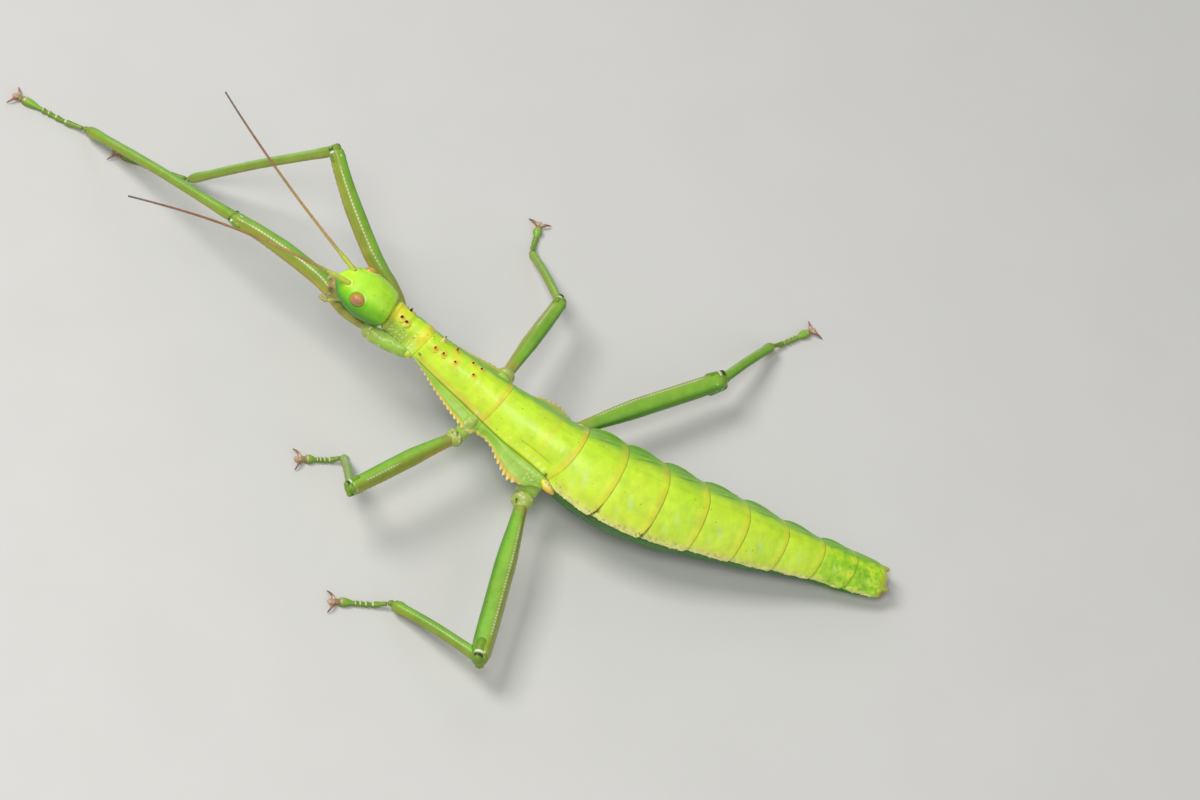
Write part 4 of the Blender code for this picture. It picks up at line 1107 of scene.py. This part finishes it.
def build_leg(skin, pair, label):
    """Coxa, trochanter, femur, tibia and tarsus of one leg."""
    inside, joint, thigh_way, inward, bend, shin_way, ankle, foot_way = leg_points(pair, label)
    base, _, knee, shin = (d / 2 for d in LEG_THICKNESS[pair])
    radius = COXA_RADIUS[pair]
    seed = sum(map(ord, pair + label))

    def grain(grid, scale, k=0):
        return layered(grid * scale, seed + k)

    start = joint + thigh_way * (radius * 0.85 + base + JOINT_GAP)
    end = bend - thigh_way * knee * 0.5
    build_hip(skin, inside, joint, start, radius, base, grain)
    build_thigh(skin, pair, start, end, inward, grain)
    build_knee(skin, bend, end, thigh_way, shin_way, knee, grain)
    build_shin(skin, pair, bend, ankle, shin_way, grain)
    return build_foot(skin, ankle, foot_way, shin, FOOT_LENGTH[pair], grain)


def build_foot(skin, ankle, foot_way, shin, length, grain):
    """Tarsus of five joints, the last one long and swollen; returns where the claws start."""
    first = ankle + foot_way * (shin * 0.35 + WAIST_RADIUS * 0.6 + JOINT_GAP)
    first[2] = ANKLE_HEIGHT * 0.75
    ball = oval(ankle - UP * 0.1, axes_of(foot_way), (0.55, 0.44, 0.42), 14, 20)
    skin.add(ball, mix(LEG_OLIVE, LEG_GREEN, 0.5 + 0.6 * grain(ball, 2.0, 29)), 0.7)
    starts = np.concatenate([[0.0], np.cumsum(TARSUS_SHARES)])
    for k, (a, b) in enumerate(zip(starts[:-1], starts[1:])):
        last = k == len(TARSUS_SHARES) - 1
        t = np.linspace(0, 1, 30 + 14 * last)
        x = a + (b - a) * (0.03 + 0.94 * t)
        path = first + foot_way * (x * length)[:, None]
        path[:, 2] = FOOT_HEIGHT + (first[2] - FOOT_HEIGHT) * smooth(0.32, 0.0, x)
        swell = (PAD_RADIUS - WAIST_RADIUS) * smooth(0.25, 0.80, t) * smooth(1.12, 0.88, t)
        radii = WAIST_RADIUS * 0.82 + swell * 0.8
        if last:
            radii = 0.30 + 0.36 * smooth(0.0, 0.75, t) * smooth(1.35, 0.85, t)
        grid, angle, _ = rod(path, radii, 36, steps=FOOT_CAP_RINGS, first=0.5, last=0.45)
        share = ramp(np.arange(len(grid)), FOOT_CAP_RINGS, len(grid) - 1 - FOOT_CAP_RINGS)[:, None]
        # two soft soles under the front half of each joint
        sole = smooth(0.35, 0.7, share) * np.clip(-np.sin(angle), 0, 1)
        grid = grid - UP * (0.10 * sole * (1 - bell(angle, 1.5 * math.pi, 0.30)))[..., None]
        rough = grain(grid, 2.4, 31 + k)
        skin.add(above_floor(raised(grid, 0.02 * rough)),
                 coats(LEG_OLIVE,
                       (LEG_GREEN, 0.5 + 0.5 * rough),
                       # painted highlight: the upper side of the last joint is painted lighter green
                       (LEG_LIGHT, 0.7 * last * smooth(0.2, 0.9, np.sin(angle))),
                       (TAN, 0.45 * sole),
                       (WHITE, 0.85 * bell(share, 0.95, 0.09) * smooth(0.45, 0.8, np.sin(angle))),
                       (ROSY_BROWN, 0.7 * last * smooth(0.84, 1.0, share)),
                       (DARK_BROWN, 0.35 * bell(share, 0.0, 0.10))), 0.75)
    tip = first + foot_way * length
    tip[2] = FOOT_HEIGHT
    return tip


def build_claws(skin, name, tip, foot_way):
    """Soft pad in the skin, and a piece with the two curved hooks."""
    hub = tip + foot_way * (WAIST_RADIUS + 0.42 + JOINT_GAP)
    hub[2] = FOOT_HEIGHT
    axes = axes_of(foot_way)
    pad = above_floor(oval(hub + foot_way * 0.15, axes, (0.62, 0.50, 0.38), 18, 28) - UP * 0.08)
    skin.add(pad, mix(ROSY_BROWN, IVORY, 0.35 + 0.4 * layered(pad * 3.0, 5)), 0.6)
    neck = above_floor(oval(tip + foot_way * 0.45, axes, (0.6, 0.46, 0.38), 14, 24))
    skin.add(neck, mix(LEG_OLIVE, ROSY_BROWN, 0.55 + 0.5 * layered(neck * 2.0, 6)), 0.6)
    claws = Shells(name)
    t = np.linspace(0, 1, 44)
    bend = math.radians(CLAW_SPREAD) * (1 - 0.32 * t)
    for turn in (1, -1):
        way = foot_way * np.cos(bend)[:, None] + axes[1] * (np.sin(bend) * turn)[:, None]
        path = hub - foot_way * 0.15 + np.cumsum(way, axis=0) * (CLAW_LENGTH * 1.02 / len(t))
        path[:, 2] += 0.12 + 0.25 * np.sin(math.pi * t * 0.8) - 0.45 * t ** 2
        grid, angle, share = rod(path, CLAW_THICK / 2 * (1 - 0.80 * t ** 1.3), 24, last=1.2)
        grid = above_floor(grid)
        rough = layered(grid * 2.5, 77)
        # painted highlight: an ivory glint on the upper side of each claw near its root
        painted_glint = bell(share, 0.25, 0.20) * smooth(0.3, 0.8, np.sin(angle))
        claws.add(grid, coats(ROSY_BROWN,
                              (CLAW_BROWN, 0.5 + 0.5 * rough),
                              (IVORY, 0.5 * painted_glint),
                              (DARK_BROWN, smooth(0.55, 0.95, share + 0.1 * rough))), 0.85)
    return claws


# ------------------------------------------------------------------ head parts
PALPS = (           # station, side and height of the joints, thickness
    (((1.9, 1.2, -3.1), (1.25, 1.75, -3.45), (0.7, 1.95, -3.6), (0.35, 1.85, -3.7),
      (0.0, 1.68, -3.8)), 0.30),
    (((1.3, 0.55, -3.3), (0.8, 0.85, -3.55), (0.35, 0.9, -3.65)), 0.24))


def build_mouthparts():
    """Upper lip, jaws, lower lip and palps."""
    mouth = Shells("mouthparts")

    def egg(station, side, height, sizes, colour, front, cleft=0.0):
        middle = place_head(station, side, height)
        grid = oval(middle, (HEAD_FORWARD, HEAD_LEFT, HEAD_UP), sizes, 26, 40)
        away = (grid - middle) @ HEAD_LEFT
        grid = grid - HEAD_UP * (cleft * bell(away, 0.0, 0.35))[..., None]
        rough = layered(grid * 1.8, 51)
        grid = raised(grid, 0.03 * rough)
        ahead = smooth(-0.2, 0.9, ((grid - middle) @ HEAD_FORWARD) / sizes[0])
        mouth.add(grid, coats(colour, (GLASSY, 0.4 + 0.5 * rough), (front, 0.75 * ahead)), 0.7)

    egg(1.2, 0.0, -1.45, (1.25, 1.20, 0.50), LEG_OLIVE, TAN, cleft=0.10)          # clypeus
    egg(0.35, 0.0, -1.75, (0.55, 0.85, 0.62), TAN, ROSY_BROWN, cleft=0.16)        # labrum
    egg(2.0, 0.0, -3.0, (1.30, 1.05, 0.60), TAN, LEG_OLIVE, cleft=0.20)           # labium
    egg(0.9, 0.0, -3.2, (0.75, 0.70, 0.42), TAN, ROSY_BROWN, cleft=0.22)
    t = np.linspace(0, 1, 18)
    for sign in (1, -1):
        egg(1.3, sign * 0.78, -2.2, (1.15, 0.50, 0.72), TAN, DARK_BROWN)          # mandible
        egg(1.9, sign * 1.00, -2.6, (1.05, 0.42, 0.62), LEG_OLIVE, ROSY_BROWN)    # maxilla
        for joints, thick in PALPS:
            spots = [place_head(station, sign * side, height) for station, side, height in joints]
            for start, end in zip(spots, spots[1:]):
                radii = thick * (0.78 + 0.22 * smooth(0.2, 0.8, t))
                grid, _, _ = rod(start + (end - start) * t[:, None], radii, 22)
                mouth.add(grid, mix(TAN, GLASSY, 0.5 + 0.5 * layered(grid * 2.2, 53)), 0.6)
    return mouth


ANTENNA_RINGS = 30            # rings a joint of the feeler is lofted through
FEELER_THICKNESS = ((0.0, 0.36), (0.07, 0.31), (0.10, 0.23), (0.3, 0.19), (0.7, 0.16), (1.0, 0.12))
FEELER_JOINTS = [2.3, 1.0]            # scape and pedicel, then the joints of the thread
FEELER_JOINTS += [0.75 + 0.75 * math.sin(math.pi * min(1.0, k / 26)) for k in range(26)]


def build_antenna(label):
    """Scape, pedicel and a tapering thread of swollen joints."""
    sign = 1 if label == "left" else -1
    antenna = Shells("antenna_" + label)
    station, width, height = ANTENNA_ROOT
    root = place_head(station, sign * width, height)
    direction = aim(*ANTENNA_AIM[label])

    def at(x):
        x = x[:, None]
        way = unit(direction + (HEAD_FORWARD - direction) * 0.25 * (1 - x))
        rise = UP * (ANTENNA_RISE[label] * np.sin(math.pi * np.clip(x, 0, 1)))
        return root + HEAD_FORWARD * 0.35 + way * ANTENNA_LENGTH * x + rise

    edges = np.concatenate([[-0.012], np.cumsum(FEELER_JOINTS) / sum(FEELER_JOINTS)])
    t = np.linspace(0, 1, ANTENNA_RINGS)
    for k, (a, b) in enumerate(zip(edges[:-1], edges[1:])):
        thread = k > 1
        x = a + (b - a) * t
        joint = 1.0 + (0.10 if thread else 0.16) * smooth(0.55, 0.9, t) - 0.10 * smooth(0.15, 0.0, t)
        grid, _, share = rod(at(x), along(FEELER_THICKNESS, x) * joint, 20, steps=4, first=0.3,
                             last=0.35)
        whole = (a + b) / 2 + 0 * share
        dark = 0.45 * smooth(0.86, 0.97, share) * thread + 0.2 * layered(grid * 2.5, 57 + k)
        antenna.add(grid, coats(FEELER_GREEN,
                                (FEELER_TAN, smooth(0.04, 0.16, whole)),
                                (FEELER_BROWN, smooth(0.25, 0.75, whole)),
                                (FEELER_GREY, smooth(0.75, 1.0, whole)),
                                (IVORY, 0.30 * bell(share, 0.06, 0.10)),
                                (DARK_BROWN, dark)), 0.5)
    return antenna


EYE_FACET = 0.105             # width of a facet
EYE_INSET = {"left": 0.0, "right": 0.28}
EYE_TONES = {"left": (tint(198, 146, 116), tint(214, 150, 66)),
             "right": (tint(218, 170, 92), tint(216, 164, 66))}


def build_eye(label):
    """Bulging faceted eye: tan and rosy, darker toward its rim."""
    sign = 1 if label == "left" else -1
    eye = Shells("eye_" + label)
    centre = place_head(EYE_STATION, sign * (EYE_SIDE - EYE_INSET[label]), EYE_HEIGHT)
    pole = unit(HEAD_LEFT * sign * 0.80 + HEAD_UP * 0.55 + HEAD_FORWARD * 0.10)
    side = unit(np.cross(HEAD_FORWARD, pole))
    ahead = np.cross(pole, side)
    turn, angle = np.meshgrid(np.linspace(math.pi - 0.01, 0.01, 170),
                              np.arange(220) / 220 * 2 * math.pi, indexing="ij")
    polar = (pole * np.cos(turn)[..., None] + side * (np.sin(turn) * np.cos(angle))[..., None]
             + ahead * (np.sin(turn) * np.sin(angle))[..., None])
    # facets: three waves across each other in the flat map around the pole
    across = turn * np.cos(angle) * EYE_RADIUS / EYE_FACET
    down = turn * np.sin(angle) * EYE_RADIUS / EYE_FACET
    waves = sum(np.cos(2 * math.pi * (across * math.cos(way) + down * math.sin(way)))
                for way in np.radians((0, 60, 120)))
    facets = smooth(-1.5, 3.0, waves)
    faceted = turn < 1.5
    size = EYE_RADIUS * np.array(EYE_SQUASH)
    grid = centre + polar * size * (1 + 0.010 * (facets * faceted - 1))[..., None]
    out = turn / 1.45
    low = ((grid - centre) @ HEAD_UP) / EYE_RADIUS
    centre_tone, ring_tone = EYE_TONES[label]
    eye.add(grid, coats(centre_tone,
                        (ring_tone, smooth(0.25, 0.62, out)),
                        (EYE_RUST, 0.25 * smooth(0.05, 0.45, layered(grid * 1.6, 63))),
                        (EYE_SHADE, 0.85 * smooth(-0.15, -0.60, low) * smooth(0.45, 0.70, out)),
                        (EYE_JOINT, 0.25 * (1 - facets) * faceted)), 0.9)
    return eye


# ------------------------------------------------------------------ materials
class Nodes:
    """A new node material, with short ways to add and join its nodes."""

    def __init__(self, name):
        self.material = bpy.data.materials.new(name)
        self.material.use_nodes = True
        self.tree = self.material.node_tree
        self.shader = self.tree.nodes["Principled BSDF"]

    def put(self, socket, value):
        """Feed a socket from another one, or set it to a number or a colour."""
        if isinstance(value, bpy.types.NodeSocket):
            self.tree.links.new(value, socket)
        else:
            socket.default_value = (*value[:3], 1.0) if np.ndim(value) else value

    def add(self, kind, result, inputs=(), **settings):
        """Add a node with its settings and inputs; returns the output called result."""
        item = self.tree.nodes.new("ShaderNode" + kind)
        for key, value in settings.items():
            setattr(item, key, value)
        for key, value in dict(inputs).items():
            self.put(item.inputs[key], value)
        return item.outputs[result]

    def math(self, operation, a, b):
        """Sum or product of two values."""
        return self.add("Math", 0, {0: a, 1: b}, operation=operation)

    def blend(self, factor, a, b):
        """Blend of two colours."""
        return self.add("Mix", 2, {0: factor, 6: a, 7: b}, data_type="RGBA")

    def look(self, **inputs):
        """Set inputs of the shader, whose names are written with _ for a space."""
        for key, value in inputs.items():
            self.put(self.shader.inputs[key.replace("_", " ")], value)
        return self.material


def cuticle(name, mottle=0.10, specks=0.0, rough=(0.60, 0.26), grain=900.0, relief=0.000022,
            coat=0.12):
    """Shell of an insect: painted, mottled and speckled, with fine grain in its gloss."""
    nodes = Nodes(name)
    spot = nodes.add("TexCoord", "Object")
    paint = nodes.add("Attribute", "Color", attribute_name="paint")
    gloss = nodes.add("Attribute", "Fac", attribute_name="gloss")

    def noise_at(scale, detail=3.0):
        return nodes.add("TexNoise", "Fac", {"Vector": spot, "Scale": grain * scale, "Detail": detail})

    def spread(value, low, high, to_low=0.0, to_high=1.0):
        return nodes.add("MapRange", "Result", {"Value": value, "From Min": low, "From Max": high,
                                                "To Min": to_low, "To Max": to_high})

    cells = nodes.add("TexVoronoi", "Distance", {"Vector": spot, "Scale": grain * 1.3})
    colour = nodes.add("HueSaturation", "Color", {
        "Color": paint, "Hue": spread(noise_at(0.22), 0.3, 0.7, 0.494, 0.506),
        "Value": spread(noise_at(0.6, 4.0), 0.3, 0.7, 1.0 - mottle, 1.0 + mottle)})
    if specks > 0:
        chosen = spread(noise_at(0.35, 2.0), 0.56, 0.62)
        dots = nodes.math("MULTIPLY", spread(cells, 0.20, 0.10), chosen)
        colour = nodes.blend(nodes.math("MULTIPLY", dots, specks), colour, SPECK)
    uneven = spread(noise_at(1.2), 0.3, 0.7, -0.06, 0.06)
    roughness = nodes.math("ADD", spread(gloss, 0.0, 1.0, *rough), uneven)
    height = nodes.math("ADD", noise_at(2.4, 4.0), nodes.math("MULTIPLY", cells, 0.5))
    bump = nodes.add("Bump", "Normal", {"Height": height, "Strength": 0.55, "Distance": relief})
    return nodes.look(Base_Color=colour, Roughness=roughness, Normal=bump,
                      Specular_IOR_Level=0.32, Coat_Weight=coat, Coat_Roughness=0.22)


# ------------------------------------------------------------------ model
SKIN_NODES = ["head", "prothorax", "mesothorax", "metathorax", "tail", "operculum"]
SKIN_NODES += ["abdomen_%d" % k for k in range(2, 9)]
LEGS = [(pair, label) for pair in ("fore", "mid", "hind") for label in ("left", "right")]
SKIN_NODES += ["%s_%s_%s" % (pair, label, part) for pair, label in LEGS
               for part in ("coxa", "femur", "tibia", "tarsus")]

skin_material = cuticle("cuticle_skin", specks=0.45)
claw_material = cuticle("horn_claws", mottle=0.2, rough=(0.5, 0.18), coat=0.3)
feeler_material = cuticle("cuticle_feelers", mottle=0.18, specks=0.3)
eye_material = cuticle("faceted_eye", mottle=0.10, rough=(0.4, 0.10), grain=1600.0,
                       relief=0.000008, coat=0.35)
mouth_material = cuticle("cuticle_mouthparts", mottle=0.16)

skin = Shells("skin")
build_trunk(skin)
build_spines(skin)
build_knobs(skin)
build_side_lobes(skin)
build_cerci(skin)
build_operculum(skin)
claw_sets = {}
for pair, label in LEGS:
    name = "%s_%s_claws" % (pair, label)
    foot_way = leg_points(pair, label)[-1]
    tip = build_leg(skin, pair, label)
    claw_sets[name] = build_claws(skin, "claws_%s_%s" % (pair, label), tip, foot_way)


def finish_piece(shells, material, slot, *nodes):
    """Build a piece, ride it on the frame and hide the nodes it stands for."""
    piece = shells.build(material)
    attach(piece, "root")
    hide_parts(*nodes)
    return piece


finish_piece(skin, skin_material, "body", *SKIN_NODES)
for name, claws in claw_sets.items():
    finish_piece(claws, claw_material, "claws", name)
for label in ("left", "right"):
    finish_piece(build_eye(label), eye_material, "eyes", "eye_" + label)
    finish_piece(build_antenna(label), feeler_material, "feelers", "antenna_" + label)
finish_piece(build_mouthparts(), mouth_material, "mouthparts", "mouthparts")


# ------------------------------------------------------------------ floor, light and camera
FLOOR_HALF = 1.5              # metres from the middle to the edge
FLOOR_DARK, FLOOR_LIGHT = (0.60, 0.60, 0.585), (0.64, 0.64, 0.625)


def build_floor():
    """Plain pale floor: stage, and no part of the model."""
    nodes = Nodes("studio_floor")
    grain = nodes.add("TexNoise", "Fac", {"Vector": nodes.add("TexCoord", "Object"), "Scale": 60.0,
                                          "Detail": 3.0})
    mesh = bpy.data.meshes.new("floor")
    corners = [(x * FLOOR_HALF, y * FLOOR_HALF, 0) for x, y in ((-1, -1), (1, -1), (1, 1), (-1, 1))]
    mesh.from_pydata(corners, [], [(0, 1, 2, 3)])
    mesh.materials.append(nodes.look(Base_Color=nodes.blend(grain, FLOOR_DARK, FLOOR_LIGHT),
                                     Roughness=0.75))
    floor = add_object("floor", mesh)


LIGHTS = (          # name; metres to the camera's right, up and back; size, power and colour
    ("key", (-0.25, 0.40, 0.45), 0.25, 2.5, (1.0, 0.98, 0.95)),
    ("fill", (0.45, -0.15, 0.50), 0.5, 0.8, (1.0, 0.99, 0.97)),
    ("front", (-0.04, 0.08, 0.56), 0.14, 1.05, (1.0, 0.99, 0.96)),
    ("rim", (0.10, 0.60, -0.05), 0.3, 0.3, (1.0, 1.0, 1.0)))
SKY_COLOUR, SKY_POWER = (0.97, 0.98, 1.0), 0.23
CAMERA_AZIMUTH, CAMERA_ELEVATION, CAMERA_ROLL = 86.66, 52.26, 24.83
CAMERA_DISTANCE = 0.560
CAMERA_LENS = 120.5
TARGET_STATION = 60.0
TARGET_SHIFT = (-12.43, -17.98)       # from the body line at that station to the picture's middle
TARGET_HEIGHT = 8.0


def camera_axes():
    """Right, up and back of the rolled camera."""
    a, e = math.radians(CAMERA_AZIMUTH), math.radians(CAMERA_ELEVATION)
    back = Vector((math.sin(a) * math.cos(e), -math.cos(a) * math.cos(e), math.sin(e)))
    right = Vector((0, 0, 1)).cross(back).normalized()
    up = back.cross(right)
    roll = math.radians(CAMERA_ROLL)
    return (right * math.cos(roll) + up * math.sin(roll),
            up * math.cos(roll) - right * math.sin(roll), back)


def camera_target():
    """Point of the model in the middle of the picture."""
    point = (place(TARGET_STATION, 0, 0) + OFFSET) * MM
    return Vector((point[0] + TARGET_SHIFT[0] * MM, point[1] + TARGET_SHIFT[1] * MM,
                   TARGET_HEIGHT * MM))


def add_camera():
    """The camera of the photo's view."""
    right, up, back = camera_axes()
    data = bpy.data.cameras.new("photo_view")
    data.lens = CAMERA_LENS
    data.sensor_width = 36.0
    data.clip_start, data.clip_end = 0.01, 10.0
    camera = add_object("photo_view", data)
    turn = Matrix((right, up, back)).transposed().to_4x4()
    camera.matrix_world = Matrix.Translation(camera_target() + back * CAMERA_DISTANCE) @ turn
    bpy.context.scene.camera = camera


def add_light(name, offset, size, power, colour):
    """Soft square light at a place given along the camera's right, up and back."""
    right, up, back = camera_axes()
    target = camera_target()
    position = target + right * offset[0] + up * offset[1] + back * offset[2]
    data = bpy.data.lights.new(name, "AREA")
    data.shape = "SQUARE"
    data.size = size
    data.energy = power
    data.color = colour
    light = add_object(name, data)
    light.location = position
    light.rotation_euler = (position - target).to_track_quat("Z", "Y").to_euler()


build_floor()
add_camera()
for light in LIGHTS:
    add_light(*light)
world = bpy.data.worlds.new("studio")
world.use_nodes = True
background = world.node_tree.nodes["Background"].inputs
background["Color"].default_value = (*SKY_COLOUR, 1.0)
background["Strength"].default_value = SKY_POWER
bpy.context.scene.world = world
bpy.context.scene.view_settings.view_transform = "Standard"
